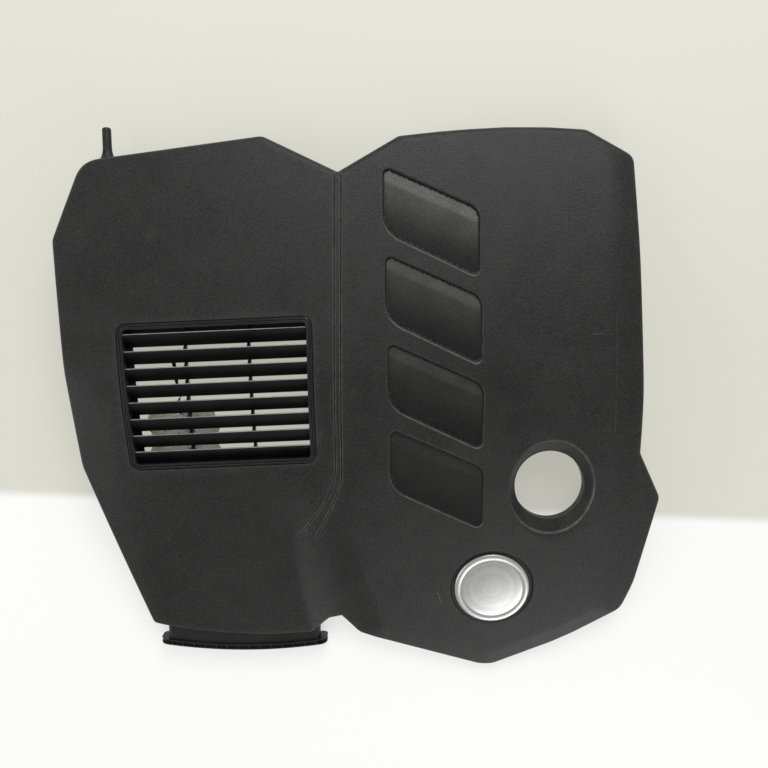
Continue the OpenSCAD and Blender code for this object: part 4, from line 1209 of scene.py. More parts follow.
# Blank badge and the turned small parts, each from a section that is spun about its own axis
def spunMesh(section, segments, place=None):
    # A closed turned solid; a third number in a section's point gives that ring six lobes
    verts, faces, rings = [], [], []
    hoop = [2 * math.pi * k / segments for k in range(segments)]
    for r, z, *lobe in section:
        base = len(verts)
        if r < 1e-6:
            verts.append((0, 0, z))
            rings.append([base] * segments)
        else:
            wave = [r + sum(lobe) * math.cos(6 * a) for a in hoop]
            verts.extend([(w * math.cos(a), w * math.sin(a), z) for a, w in zip(hoop, wave)])
            rings.append(list(range(base, base + segments)))
    onAxis = [r[0] == r[1] for r in rings]
    pairs = list(zip(range(len(rings) - 1), range(1, len(rings))))
    if not onAxis[0] and not onAxis[-1]:
        pairs.append((len(rings) - 1, 0))
    for m, n in pairs:
        a, b = rings[m], rings[n]
        for i in range(segments):
            j = (i + 1) % segments
            if onAxis[m]:
                faces.append((a[0], b[j], b[i]))
            elif onAxis[n]:
                faces.append((a[i], a[j], b[0]))
            else:
                faces.append((a[i], a[j], b[j], b[i]))
    return [place(v) for v in verts] if place else verts, faces


def merged(meshes):
    # One set of vertices and faces out of several
    verts, faces = [], []
    for more, rows in meshes:
        faces += [tuple(len(verts) + i for i in f) for f in rows]
        verts += more
    return verts, faces


def onDish(v):
    # From the dish's own frame to the model's
    return (dishC[0] + v[0], dishC[1] + v[1] * cosD(dishAngle) - v[2] * sinD(dishAngle),
            dishC[2] + v[1] * sinD(dishAngle) + v[2] * cosD(dishAngle))


def onPins(section, segments):
    # The same turned solid on each of the badge's pins
    return [spunMesh(section, segments, lambda v: onDish((v[0] + px, v[1] + py, v[2]))) for px, py in badgePins]


def buildBadge(material):
    r, h = badge["d"] / 2, badge["h"]
    step = r - 7.0  # inside this radius the face is one plain dome
    domeR = (step ** 2 + badge["dome"] ** 2) / (2 * badge["dome"])
    section = [(0.0, 0.02), (r - 1.2, 0.02), (r - 0.4, 0.25), (r, 0.8), (r, h - 2.2), (r - 0.25, h - 1.55),
               (r - 0.9, h - 1.05), (r - 2.0, h - 0.72), (r - 3.6, h - 0.6), (r - 5.2, h - 0.72), (r - 6.2, h - 1.02),
               (r - 6.6, h - 1.35), (r - 6.85, h - 1.5), (step, h - 1.45)]
    for k in range(1, 12):
        x = step * (1 - k / 12)
        section.append((x, h - 1.45 + 0.12 + badge["dome"] - domeR + math.sqrt(domeR ** 2 - x ** 2)))
    section.append((0.0, h - 1.33 + badge["dome"]))
    pin = [(0.0, -12.0), (1.3, -12.0), (2.0, -11.2), (2.0, 0.4), (0.0, 0.4)]
    verts, faces = merged([spunMesh(section, 128, onDish)] + onPins(pin, 24))
    return newPiece("blankBadge", verts, faces, material, sharp=30)


def grommetSection():
    g, h = fixings["grommetD"] / 2, fixings["grommetH"]
    section = [(0.0, 11.0), (4.0, 11.0), (4.7, 10.7), (5.0, 10.0), (5.0, 2.7), (5.3, 2.2), (7.0, 0.5), (7.7, 0.05),
               (8.6, 0.0), (g + 1.3, 0.0), (g + 1.8, 0.2), (g + 2.0, 0.7), (g + 2.0, 1.9), (g + 1.8, 2.35),
               (g + 1.4, 2.5), (g + 0.25, 2.5), (g, 2.9)]
    for groove in (5.2, 8.0, 10.8):
        section += [(g, groove - 0.7), (g - 0.4, groove - 0.35), (g - 0.4, groove + 0.35), (g, groove + 0.7)]
    return section + [(g, h - 1.6), (g - 0.5, h - 0.5), (g - 1.3, h), (0.0, h)]


def buildGrommet(name, place, material):
    verts, faces = spunMesh(grommetSection(), 56, lambda v: tuple(a + b for a, b in zip(v, place)))
    return newPiece(name, verts, faces, material, sharp=40)


screw = {"core": 1.62, "r": 2.0, "pitch": 1.0, "into": 4.6}


def buildScrews(material):
    # Round head with a six-lobed drive, and a shank that goes up into the boss
    top = ductOpt["wall"] + screw["into"]
    section = [(0.0, -0.9), (1.5, -0.95, 0.28), (1.75, -1.2, 0.28), (1.75, -2.25, 0.28), (2.0, -2.4, 0.2),
               (2.5, -2.42), (3.3, -2.3), (3.9, -1.8), (4.2, -1.1), (4.2, -0.3), (4.1, -0.02), (2.2, 0.0), (1.95, 0.3)]
    z = 0.8
    while z < top - screw["pitch"]:
        section += [(screw["core"], z), (screw["r"], z + 0.35), (screw["r"], z + 0.5)]
        z += screw["pitch"]
    section += [(1.6, top - 0.6), (0.9, top), (0.0, top)]
    prototype = plainObject("screwPrototype", *spunMesh(section, 36))
    places = [(x, y, fixings["tabZ"]) for x, y in tabSpots]
    turns = [(0, 0, 0.35 * k) for k in range(len(places))]
    return repeated("ductScrews", prototype, places, turns, material, 40)


def pushRing(inner, outer, low, high, prong):
    # Section of a sprung push-on ring: flat rim, raised throat and teeth that grip the post
    return [(inner, low + 0.15, prong), (inner + 0.5, low, prong * 0.5), (inner + 1.3, low + 0.2),
            (outer - 1.6, low + 0.12), (outer - 0.5, low), (outer, low + 0.3), (outer, high - 0.25),
            (outer - 0.3, high), (inner + 1.4, high), (inner + 0.6, high - 0.15, prong * 0.5),
            (inner, high - 0.35, prong)]


def buildPushNuts(material):
    verts, faces = merged(onPins(pushRing(2.15, 6.5, -4.4, -3.02, 0.3), 36))
    return newPiece("badgePushNuts", verts, faces, material, sharp=40)


def buildWashers(material):
    prototype = plainObject("washerPrototype", *spunMesh(pushRing(2.7, 9.0, -1.2, 0.0, 0.35), 36))
    places, turns = [], []
    for k, (x, y) in enumerate(stakesLeft + stakesRight):
        places.append((x, y, float(crownAt(y, wall + fixings["padT"]))))
        turns.append((-math.radians(crownTilt(y)), 0, 0.3 * k))
    return repeated("padWashers", prototype, places, turns, material, 40)


# Sound pads: soft slabs under the face, held down round each stake
padOpt = {"edgeR": 2.4, "puff": 0.7, "puffWide": 14.0, "pressR": 8.5, "pressFade": 16.0, "gap": 0.12, "grid": 5.0}


def buildPad(name, corners, stakes, material):
    o = padOpt
    outer, *rounds = insetLoops(corners, (0, 0.7, o["edgeR"], 6.0), o["grid"])
    holeR = fixings["stakeD"] / 2 + fixings["fit"]
    holes = [np.array(s) + circle(20) * holeR for s in stakes]
    extra = [np.array(s) + circle(20) * r for s in stakes for r in (o["pressR"], 10.5, 14.0)]

    def keep(x, y):
        ok = signedDistance(x, y, outer) < -0.001
        for sx, sy in stakes:
            ok &= np.hypot(x - sx, y - sy) > holeR * 0.98
        return ok

    def inside(x, y):
        return (signedDistance(x, y, outer) < -7.5) & keep(x, y)

    gx, gy = gridPoints(o["grid"], [outer] + holes + extra, [], 2.2, inside)
    verts, tris, maps = triangulate([outer] + holes + rounds + extra, [], list(zip(gx, gy)), keep)
    x, y = verts[:, 0], verts[:, 1]
    inset = -signedDistance(x, y, outer)
    rounded = o["edgeR"] * (1 - np.sqrt(np.maximum(1 - np.clip(1 - inset / o["edgeR"], 0, 1) ** 2, 0)))
    pressed = np.zeros(x.shape)
    for sx, sy in stakes:
        pressed = np.maximum(pressed, 1 - ease((np.hypot(x - sx, y - sy) - o["pressR"]) / o["pressFade"]))
    low = crownAt(y, wall + fixings["padT"]) - o["puff"] * (1 - pressed) * ease(inset / o["puffWide"]) + rounded
    high = coverTop(x, y, wall, False) - o["gap"] - rounded * 0.35
    parts = MeshParts()
    upper, lower = addSkin(parts, verts, tris, high), addSkin(parts, verts, tris[:, ::-1], low)
    for k, run in enumerate(maps[:1 + len(holes)]):
        joinRuns(parts, [lower[v] for v in run], [upper[v] for v in run], k > 0)
    return newPiece(name, parts.verts, parts.faces, material, sharp=50)


# A torn strand that hangs under the vent's left column
strand = {"wide": 1.5, "thick": 0.75, "sides": 10, "steps": 5}


def buildTornStrand(material):
    line = [(-389.5, 131, 46), (-388.6, 124, 45.2), (-388.0, 115, 44.6), (-386.8, 106, 43.8), (-384.6, 98, 42.6),
            (-384.2, 92, 43.4), (-386.4, 87, 42.0), (-383.0, 80, 41.2), (-384.8, 73, 41.6), (-380.6, 68, 40.6)]
    pts = [np.array(p, float) for p in line]
    fine = []
    for i in range(len(pts) - 1):
        a, b, c, d = (pts[max(i - 1, 0)], pts[i], pts[i + 1], pts[min(i + 2, len(pts) - 1)])
        for s in (k / strand["steps"] for k in range(strand["steps"])):
            fine.append(0.5 * ((2 * b) + (c - a) * s + (2 * a - 5 * b + 4 * c - d) * s * s
                               + (3 * b - a - 3 * c + d) * s ** 3))
    fine.append(pts[-1])
    parts = MeshParts()
    runs = []
    for i, p in enumerate(fine):
        d = unit(fine[min(i + 1, len(fine) - 1)] - fine[max(i - 1, 0)])
        side = unit(np.cross(d, (0, 0, 1)))
        up = np.cross(side, d)
        share = i / (len(fine) - 1)
        wide = (strand["wide"] + 0.5 * math.sin(9 * share) + 0.35 * math.sin(31 * share)) * (1 - 0.6 * share ** 3)
        runs.append(parts.run([p + side * wide * c + up * strand["thick"] * s
                               for c, s in circle(strand["sides"])]))
    joinAll(parts, runs, True, True)
    return newPiece("tornStrand", parts.verts, parts.faces, material, sharp=60)


# A torn scrap of film that hangs from the vent's front wall, under the lower gaps
scrap = {"from": -76.0, "wide": 70.0, "long": 53.0, "thick": 0.7, "hang": 16.2, "ripple": 1.1, "grid": (27, 19)}


def buildScrap(material):
    cols, rows = scrap["grid"]
    v0 = -ventOpt["l"] / 2 + ventOpt["border"] - 0.3
    verts = []
    for drop in (0.0, scrap["thick"]):
        for j in range(rows):
            for i in range(cols):
                a, b = i / (cols - 1), j / (rows - 1)
                ragged = 1.5 * math.sin(11 * b) + 0.8 * math.sin(29 * b + 2)
                u = scrap["from"] + scrap["wide"] * a + ragged * (2 * a - 1)
                v = v0 + (scrap["long"] + 3 * math.sin(9 * a + 1) + 1.6 * math.sin(23 * a)) * b
                wave = 1 + 0.6 * math.sin(6 * a + 4 * b) + 0.3 * math.sin(17 * a - 5 * b)
                verts.append(ventOnCrown(u, v, -scrap["hang"] - scrap["ripple"] * b * wave - drop))
    n = cols * rows
    faces = []
    for j in range(rows - 1):
        for i in range(cols - 1):
            a = j * cols + i
            faces += [(a, a + 1, a + cols + 1, a + cols), (n + a, n + a + cols, n + a + cols + 1, n + a + 1)]
    edge = list(range(cols)) + [cols * (j + 1) - 1 for j in range(1, rows)]
    edge += [cols * (rows - 1) + i for i in reversed(range(cols - 1))]
    edge += [cols * j for j in reversed(range(1, rows - 1))]
    for a, b in zip(edge, edge[1:] + edge[:1]):
        faces.append((a, n + a, n + b, b))
    return newPiece("filmScrap", verts, faces, material, sharp=60)


# Fine crosswise knurl on the floor of each recess
knurl = {"pitch": 2.1, "base": 1.44, "top": 0.4, "height": 0.42, "sunk": 0.08, "margin": 2.2, "half": 60}


def buildKnurl(material):
    k = knurl
    verts = [(r * x, r * y, z) for r, z in ((k["base"], -k["sunk"]), (k["top"], k["height"]))
             for x, y in ((1, 0), (0, 1), (-1, 0), (0, -1))]
    faces = [(0, 1, 5, 4), (1, 2, 6, 5), (2, 3, 7, 6), (3, 0, 4, 7), (4, 5, 6, 7), (3, 2, 1, 0)]
    prototype = plainObject("knurlPrototype", verts, faces)
    places, turns = [], []
    for i in range(recess["n"]):
        c = recessCorners(i)
        midX, midY = middleOf(c)
        a, b = np.meshgrid(*[np.arange(-k["half"], k["half"] + 1)] * 2)
        x = (midX + (a + b) * k["pitch"] / math.sqrt(2)).ravel()
        y = (midY + (a - b) * k["pitch"] / math.sqrt(2)).ravel()
        ok = signedDistance(x, y, ring(c, 0)) < -k["margin"]
        x, y = x[ok], y[ok]
        dx, dy = faceSlope(x, y, 0.3)
        places += list(zip(x, y, coverTop(x, y)))
        turns += [(math.atan(v), -math.atan(u), 0) for u, v in zip(dx, dy)]
    print("knurl points:", len(places))
    return repeated("recessKnurl", prototype, places, turns, material, 20)


# Shader maths: sockets in plain sums
class Value:
    # A shader socket that can be used in sums; each operator adds its Math node
    def __init__(self, look, socket):
        self.look, self.socket = look, socket

    def op(self, kind, *others):
        return self.look.add("ShaderNodeMath", {"operation": kind}, *others)

    def __add__(self, o):
        return self.op("ADD", self, o)

    def __radd__(self, o):
        return self.op("ADD", o, self)

    def __sub__(self, o):
        return self.op("SUBTRACT", self, o)

    def __rsub__(self, o):
        return self.op("SUBTRACT", o, self)

    def __mul__(self, o):
        return self.op("MULTIPLY", self, o)

    def __rmul__(self, o):
        return self.op("MULTIPLY", o, self)

    def __truediv__(self, o):
        return self.op("DIVIDE", self, o)

    def __rtruediv__(self, o):
        return self.op("DIVIDE", o, self)

    def __pow__(self, o):
        return self.op("POWER", self, o)

    def __rpow__(self, o):
        return self.op("POWER", o, self)

    def __neg__(self):
        return self.op("MULTIPLY", self, -1.0)

    def least(self, o):
        return self.op("MINIMUM", self, o)

    def most(self, o):
        return self.op("MAXIMUM", self, o)

    def band(self, lo, hi):
        # 0 below lo, 1 above hi, smooth between
        return self.look.add("ShaderNodeMapRange", {"interpolation_type": "SMOOTHSTEP"}, self, lo, hi, 0.0, 1.0)


class Look:
    # One material, built node by node
    def __init__(self, name):
        self.material = bpy.data.materials.new(name)
        self.material.use_nodes = True
        self.tree = self.material.node_tree
        self.tree.nodes.clear()
        self.shader = self.tree.nodes.new("ShaderNodeBsdfPrincipled")
        out = self.tree.nodes.new("ShaderNodeOutputMaterial")
        self.tree.links.new(self.shader.outputs[0], out.inputs[0])

    def add(self, kind, settings=None, *values, output=0, **named):
        node = self.tree.nodes.new(kind)
        for key, value in (settings or {}).items():
            setattr(node, key, value)
        for key, value in list(enumerate(values)) + list(named.items()):
            self.feed(node.inputs[key.replace("_", " ") if isinstance(key, str) else key], value)
        return Value(self, node.outputs[output])

    def feed(self, socket, value):
        if isinstance(value, Value):
            self.tree.links.new(value.socket, socket)
        elif value is not None:
            socket.default_value = value

    def set(self, **named):
        for key, value in named.items():
            self.feed(self.shader.inputs[key.replace("_", " ")], value)

    def axes(self, vector):
        node = self.add("ShaderNodeSeparateXYZ", None, vector).socket.node
        return [Value(self, node.outputs[i]) for i in range(3)]

    def noise(self, vector, scale, detail=3.0, rough=0.5):
        return self.add("ShaderNodeTexNoise", None, Vector=vector, Scale=scale, Detail=detail, Roughness=rough)

    def mix(self, factor, a, b):
        # The colours are the seventh and eighth sockets
        return self.add("ShaderNodeMix", {"data_type": "RGBA"}, factor, *[None] * 5, a, b, output=2)

    def attribute(self, name):
        return self.add("ShaderNodeAttribute", {"attribute_name": name}, output=2)

    def stretched(self, vector, scale):
        return self.add("ShaderNodeMapping", None, Vector=vector, Scale=scale)

    def bump(self, height, distance, strength):
        return self.add("ShaderNodeBump", None, Strength=strength, Distance=distance, Height=height)


def rgb(r, g, b):
    return (r, g, b, 1.0)


def newLook(name):
    # A material and the place on the piece, in metres
    look = Look(name)
    return look, look.add("ShaderNodeTexCoord", None, output=3)


def mark(x, y, a, b, width, blur=0.4):
    # 1 on a straight mark between two plan points, in model millimetres
    (ax, ay, _), (bx, by, _) = toWorld([(*a, 0), (*b, 0)])
    dx, dy = bx - ax, by - ay
    ll = max(dx * dx + dy * dy, 1e-9)
    s = ((x - ax) * dx + (y - ay) * dy) / ll
    s = s.most(0.0).least(1.0)
    ex, ey = x - (ax + s * dx), y - (ay + s * dy)
    d = (ex * ex + ey * ey) ** 0.5
    return 1.0 - d.band(width / 1000 * (1 - blur), width / 1000 * (1 + blur))


# Moulded plastic of the cover
# Its pale edge colour stands for wear and for painted highlights
coverLook = {
    "dark": rgb(0.003, 0.0031, 0.003), "light": rgb(0.0238, 0.0243, 0.0236), "grain": 640.0, "grainDepth": 0.0006,
    "roughness": 0.44, "worn": rgb(0.135, 0.135, 0.13), "dust": rgb(0.10, 0.098, 0.088), "specular": 0.32,
}
# Pale marks: scuffs, except the third, which runs down the right flank's crease as a painted highlight
lightMarks = [((35.3, 159.3), (46.0, 159.6), 0.6, 0.35), ((49.0, 158.9), (56.2, 159.3), 0.5, 0.25),
              ((59.3, 178.0), (60.6, 60.0), 0.5, 0.16), ((-114.8, -121.9), (-111.3, -134.2), 0.6, 0.5)]
darkMarks = [((33.9, 256.1), (34.4, 256.1), 1.1, 0.8), ((41.9, 257.1), (42.6, 257.0), 1.3, 0.8),
             ((49.8, 256.1), (50.2, 256.3), 1.0, 0.7), ((59.8, 254.1), (60.1, 254.2), 1.0, 0.7),
             ((-405.8, 227.4), (-403.2, 226.6), 1.2, 0.8)]


def markEdges(piece, reach=0.3):
    # Keeps on each point how sharply the surface bends outwards there, for edge wear and painted edge highlights
    mesh = piece.data
    co, normal = gathered(mesh.vertices, "co", 3), gathered(mesh.vertices, "normal", 3)
    a, b = gathered(mesh.edges, "vertices", 2, int).T
    way = co[b] - co[a]
    way /= np.maximum(np.linalg.norm(way, axis=1), 1e-9)[:, None]
    bend, count = np.zeros(len(co)), np.zeros(len(co))
    for at, sign in ((a, -1), (b, 1)):
        np.add.at(bend, at, sign * (way * normal[at]).sum(axis=1))
        np.add.at(count, at, 1)
    layer = mesh.attributes.new("rub", "FLOAT", "POINT")
    layer.data.foreach_set("value", np.clip(bend / np.maximum(count, 1) / reach, 0, 1))
    return piece


def mouldedPlastic():
    look, at = newLook("mouldedPlastic")
    x, y, _ = look.axes(at)
    cloud = look.noise(at, 9.0, 4.0, 0.55)
    blotch = look.noise(at, 34.0, 4.0, 0.6)
    grain = look.noise(at, coverLook["grain"], 2.0, 0.65)
    fine = look.noise(at, coverLook["grain"] * 2.6, 2.0, 0.6)
    coarse = look.noise(at, coverLook["grain"] * 0.55, 3.0, 0.6)
    shade = (cloud.band(0.32, 0.7) * 0.18 + blotch.band(0.3, 0.7) * 0.17 + grain.band(0.38, 0.62) * 0.4
             + coarse.band(0.38, 0.62) * 0.25)
    colour = look.mix(shade, coverLook["dark"], coverLook["light"])
    dust = look.noise(at, 48.0, 5.0, 0.7).band(0.56, 0.82) * 0.1
    dust = dust + look.noise(at, 520.0, 2.0, 0.5).band(0.69, 0.76) * 0.3
    colour = look.mix(dust, colour, coverLook["dust"])
    # Pale edges: part wear, part painted highlight on the recesses' lower lips, the vent seat's rim, the filler rim and
    # the grooves' rims
    rub = look.attribute("rub")
    patchy = look.noise(at, 130.0, 4.0, 0.65).band(0.34, 0.64)
    colour = look.mix(rub * (0.45 + 0.5 * patchy), colour, coverLook["worn"])
    broken = look.noise(at, 420.0, 3.0, 0.7).band(0.4, 0.62)
    # Pale scuffs, and a painted highlight along the flank's crease
    for a, b, width, strength in lightMarks:
        colour = look.mix(mark(x, y, a, b, width, 0.9) * broken * strength, colour, rgb(0.17, 0.17, 0.16))
    for a, b, width, strength in darkMarks:
        colour = look.mix(mark(x, y, a, b, width) * strength, colour, rgb(0.004, 0.004, 0.004))
    # Painted shade in the inner corners and grooves, with some dust; it also makes them rougher
    dirt = look.attribute("dirt")
    colour = look.mix(dirt * 0.85, colour, rgb(0.003, 0.003, 0.003))
    hair = look.noise(look.stretched(at, (26.0, 420.0, 26.0)), 1.0, 3.0, 0.6).band(0.66, 0.74)
    roughness = (coverLook["roughness"] + (cloud - 0.5) * 0.16 + (grain - 0.5) * 0.2 - rub * 0.06 + dirt * 0.3
                 + hair * 0.06)
    look.set(Base_Color=colour, Roughness=roughness, Specular_IOR_Level=coverLook["specular"],
             Normal=look.bump(grain + fine * 0.4 - hair * 0.15, coverLook["grainDepth"], 0.6))
    return look.material


# The pale colour is a painted highlight for the points' upper faces, the dark one painted shade
knurlLook = {"grime": rgb(0.002, 0.002, 0.002), "tops": rgb(0.25, 0.248, 0.24), "specular": 0.24}


def knurledPlastic():
    # The same plastic pressed into points, with a painted highlight on their upper faces and painted shade on their
    # sides; the highlight is stronger towards each recess's upper edge and on the back recesses
    look, at = newLook("knurledPlastic")
    x, y, _ = look.axes(at)
    # Painted light: the highlight fades down each recess from a band at its upper edge, and from the back recess to the
    # front ones
    left, top = recessCorners(0)[0][:2]
    slope = recess["fall"] / recess["w"]
    start = (top + shiftY + slope * (left + shiftX)) / 1000
    down = (start - (y + x * slope)) / ((recess["pitch"] - slope * recess["step"]) / 1000)
    within = down.op("FRACT", down)
    fade = down.op("POWER", 0.55, down)
    level = fade * ((1.0 - within.band(0.1, 0.75)) * 0.36 + (1.0 - within.band(0.14, 0.2)) * 0.24) + 0.015
    cloud = look.noise(at, 40.0, 4.0, 0.6)
    chip = look.noise(at, 260.0, 3.0, 0.6)
    tops = look.attribute("rub").band(0.1, 0.7)
    shade = tops * level * (0.75 + cloud.band(0.3, 0.7) * 0.3 + chip.band(0.4, 0.7) * 0.2)
    colour = look.mix(shade, knurlLook["grime"], knurlLook["tops"])
    look.set(Base_Color=colour, Roughness=0.3 + (cloud - 0.5) * 0.14, Specular_IOR_Level=knurlLook["specular"],
             Normal=look.bump(chip, 0.00008, 0.4))
    return look.material


def agedFilm():
    # Grey-brown film, speckled with dirt
    look, at = newLook("agedFilm")
    cloud = look.noise(at, 55.0, 5.0, 0.7)
    speck = look.noise(at, 330.0, 4.0, 0.7).band(0.56, 0.66)
    colour = look.mix(cloud.band(0.35, 0.65), rgb(0.68, 0.57, 0.48), rgb(0.88, 0.86, 0.76))
    colour = look.mix(speck * 0.85, colour, rgb(0.05, 0.04, 0.03))
    look.set(Base_Color=colour, Roughness=0.62 + (cloud - 0.5) * 0.2, Specular_IOR_Level=0.3,
             Normal=look.bump(cloud + speck * 0.3, 0.0004, 0.7))
    return look.material


# The second pair of colours is painted shade for the slats below the frame's face; the pale edge colour is part wear,
# part painted highlight
ventLook = {
    "dark": rgb(0.009, 0.0093, 0.0098), "light": rgb(0.0165, 0.0168, 0.0175), "shadeDark": rgb(0.0045, 0.0046, 0.0049),
    "shadeLight": rgb(0.0085, 0.0086, 0.009), "worn": rgb(0.36, 0.36, 0.355), "grain": 1900.0, "roughness": 0.38,
    "specular": 0.2,
}


def ventPlastic():
    # Smoother than the cover; the slats, low in the vent, take a painted-shade copy of the frame's colours, and painted
    # highlight lines along their upper back edges
    look, at = newLook("ventPlastic")
    _, y, z = look.axes(at)
    spots = np.linspace(ventC[1] - 85, ventC[1] + 85, 35)
    crown = 0.0
    for term in np.polyfit((spots + shiftY) / 1000, crownAt(spots) / 1000, 4):
        crown = y * crown + float(term)
    rise = z - crown
    # Painted shade below the frame's face
    shadedDeep = 1.0 - rise.band(-0.00115, -0.0008)
    cloud = look.noise(at, 16.0, 4.0, 0.6)
    grain = look.noise(at, ventLook["grain"], 2.0, 0.6)
    shade = cloud.band(0.3, 0.7)
    colour = look.mix(shadedDeep, look.mix(shade, ventLook["dark"], ventLook["light"]),
                      look.mix(shade, ventLook["shadeDark"], ventLook["shadeLight"]))
    dust = look.noise(at, 90.0, 5.0, 0.72).band(0.52, 0.8)
    colour = look.mix(dust * (0.07 - shadedDeep * 0.05), colour, rgb(0.12, 0.115, 0.1))
    # Painted highlight lines on the slats' upper back edges and on the frame's rims, with some wear on the frame
    rub = look.attribute("rub").band(0.35, 1.0)
    patchy = look.noise(at, 160.0, 4.0, 0.65).band(0.34, 0.66)
    colour = look.mix(rub * (0.3 + shadedDeep * 0.35 + 0.3 * patchy), colour, ventLook["worn"])
    streak = look.noise(look.stretched(at, (22.0, 500.0, 22.0)), 1.0, 3.0, 0.6)
    roughness = ventLook["roughness"] + (cloud - 0.5) * 0.08 + (streak - 0.5) * 0.1 + dust * 0.08
    look.set(Base_Color=colour, Roughness=roughness, Specular_IOR_Level=ventLook["specular"],
             Normal=look.bump(grain, 0.00004, 0.5))
    return look.material


badgeLook = {"bright": rgb(0.61, 0.61, 0.605), "dull": rgb(0.45, 0.45, 0.445), "rings": 2600.0, "roughness": 0.3}


def badgeSilver():
    # Satin metal film, turned in fine rings about the badge's middle
    look, at = newLook("badgeSilver")
    x, y, _ = look.axes(at)
    midX, midY, _ = toWorld([dishC])[0]
    dx, dy = x - midX, (y - midY) / cosD(dishAngle)
    radius = (dx * dx + dy * dy) ** 0.5
    rings = look.add("ShaderNodeTexNoise", {"noise_dimensions": "1D"}, W=radius, Scale=badgeLook["rings"], Detail=2.0)
    wide = look.add("ShaderNodeTexNoise", {"noise_dimensions": "1D"}, W=radius, Scale=210.0, Detail=3.0)
    cloud = look.noise(at, 60.0, 4.0, 0.6)
    speck = look.noise(at, 900.0, 2.0, 0.5).band(0.68, 0.76)
    rub = look.attribute("rub")
    colour = look.mix((wide * 0.5 + rings * 0.5).band(0.3, 0.7), badgeLook["dull"], badgeLook["bright"])
    colour = look.mix(speck * 0.35, colour, rgb(0.16, 0.15, 0.14))
    colour = look.mix(rub * 0.5, colour, rgb(0.8, 0.8, 0.79))
    look.set(Base_Color=colour, Metallic=0.86 - speck * 0.5,
             Roughness=badgeLook["roughness"] + (rings - 0.5) * 0.16 + (cloud - 0.5) * 0.12 + speck * 0.2,
             Normal=look.bump(rings, 0.000012, 0.6))
    return look.material


def ductPlastic():
    look, at = newLook("ductPlastic")
    cloud = look.noise(at, 20.0, 4.0, 0.6)
    grain = look.noise(at, 1500.0, 2.0, 0.6)
    flow = look.noise(look.stretched(at, (12.0, 90.0, 160.0)), 1.0, 4.0, 0.6)
    colour = look.mix(cloud.band(0.3, 0.7), rgb(0.005, 0.005, 0.0052), rgb(0.0105, 0.0105, 0.0107))
    colour = look.mix(look.noise(at, 70.0, 5.0, 0.72).band(0.5, 0.82) * 0.14, colour, rgb(0.13, 0.12, 0.1))
    look.set(Base_Color=colour, Roughness=0.44 + (cloud - 0.5) * 0.14 + (flow - 0.5) * 0.14, Specular_IOR_Level=0.42,
             Normal=look.bump(grain + flow * 0.6, 0.00006, 0.5))
    return look.material


def zincSteel():
    look, at = newLook("zincSteel")
    grains = look.add("ShaderNodeTexVoronoi", {"feature": "F1"}, Vector=at, Scale=700.0)
    cloud = look.noise(at, 260.0, 4.0, 0.65)
    scratch = look.noise(look.stretched(at, (3000.0, 300.0, 800.0)), 1.0, 3.0, 0.6)
    colour = look.mix(cloud.band(0.3, 0.72), rgb(0.38, 0.38, 0.37), rgb(0.58, 0.59, 0.6))
    colour = look.mix(look.noise(at, 330.0, 5.0, 0.7).band(0.6, 0.76) * 0.7, colour, rgb(0.21, 0.19, 0.16))
    look.set(Base_Color=colour, Metallic=1.0, Roughness=0.32 + grains.band(0.1, 0.8) * 0.14 + (scratch - 0.5) * 0.2,
             Normal=look.bump(scratch + cloud, 0.00002, 0.5))
    return look.material


def blackRubber():
    look, at = newLook("blackRubber")
    cloud = look.noise(at, 120.0, 4.0, 0.6)
    grain = look.noise(at, 2600.0, 3.0, 0.6)
    rub = look.attribute("rub")
    bloom = look.noise(at, 300.0, 5.0, 0.7).band(0.45, 0.75)
    colour = look.mix(cloud.band(0.3, 0.7), rgb(0.009, 0.009, 0.0092), rgb(0.016, 0.016, 0.0162))
    colour = look.mix(bloom * 0.14 + rub * 0.22, colour, rgb(0.11, 0.108, 0.1))
    look.set(Base_Color=colour, Roughness=0.72 + (cloud - 0.5) * 0.16 - rub * 0.08, Specular_IOR_Level=0.32,
             Normal=look.bump(grain + bloom * 0.4, 0.00005, 0.6))
    return look.material


foamLook = {"cell": 780.0, "fibre": 230.0, "dark": rgb(0.012, 0.012, 0.013), "pale": rgb(0.062, 0.062, 0.064)}


def soundFoam():
    # Fleece of short, crossed fibres over open cells
    look, at = newLook("soundFoam")
    warp = (look.noise(at, 60.0, 3.0, 0.5) - 0.5) * 0.012
    warp = look.add("ShaderNodeCombineXYZ", None, warp, warp, warp)
    moved = look.add("ShaderNodeVectorMath", {"operation": "ADD"}, at, warp)
    first = look.noise(look.stretched(moved, (foamLook["fibre"] * 6, foamLook["fibre"], 300.0)), 1.0, 4.0, 0.6)
    second = look.noise(look.stretched(moved, (foamLook["fibre"], foamLook["fibre"] * 6, 300.0)), 1.0, 4.0, 0.6)
    fibres = first.most(second)
    cells = look.add("ShaderNodeTexVoronoi", {"feature": "F1"}, Vector=at, Scale=foamLook["cell"])
    blotch = look.noise(at, 22.0, 4.0, 0.6)
    colour = look.mix(fibres.band(0.48, 0.72) * 0.7 + cells.band(0.2, 0.9) * 0.25, foamLook["dark"], foamLook["pale"])
    colour = look.mix(blotch.band(0.5, 0.8) * 0.3, colour, rgb(0.055, 0.05, 0.043))
    look.set(Base_Color=colour, Roughness=0.93 + (blotch - 0.5) * 0.1, Specular_IOR_Level=0.15, Sheen_Weight=0.35,
             Sheen_Roughness=0.55, Normal=look.bump(fibres + cells * 0.4, 0.00035, 0.8))
    return look.material


# Studio
studio = {
    "camera": (20.46, 135.78, 864.91), "tilt": -7.3, "lens": 37.55, "floor": 2.6, "seen": 0.6, "world": 0.43,
    "backDark": rgb(0.7, 0.7, 0.62), "backLight": rgb(0.78, 0.78, 0.695), "front": rgb(0.99, 0.99, 0.985),
    "lamps": [("backLamp", (0.3, 1.45, 1.35), 1.2, 23.5), ("frontLamp", (0.6, -1.5, 0.7), 1.1, 9.5),
              ("leftLamp", (-1.5, -0.3, 1.0), 1.3, 7.5)],
    "aim": (0, 0.02, 0.03), "askew": 0.0374, "frontAt": 0.1107,
}


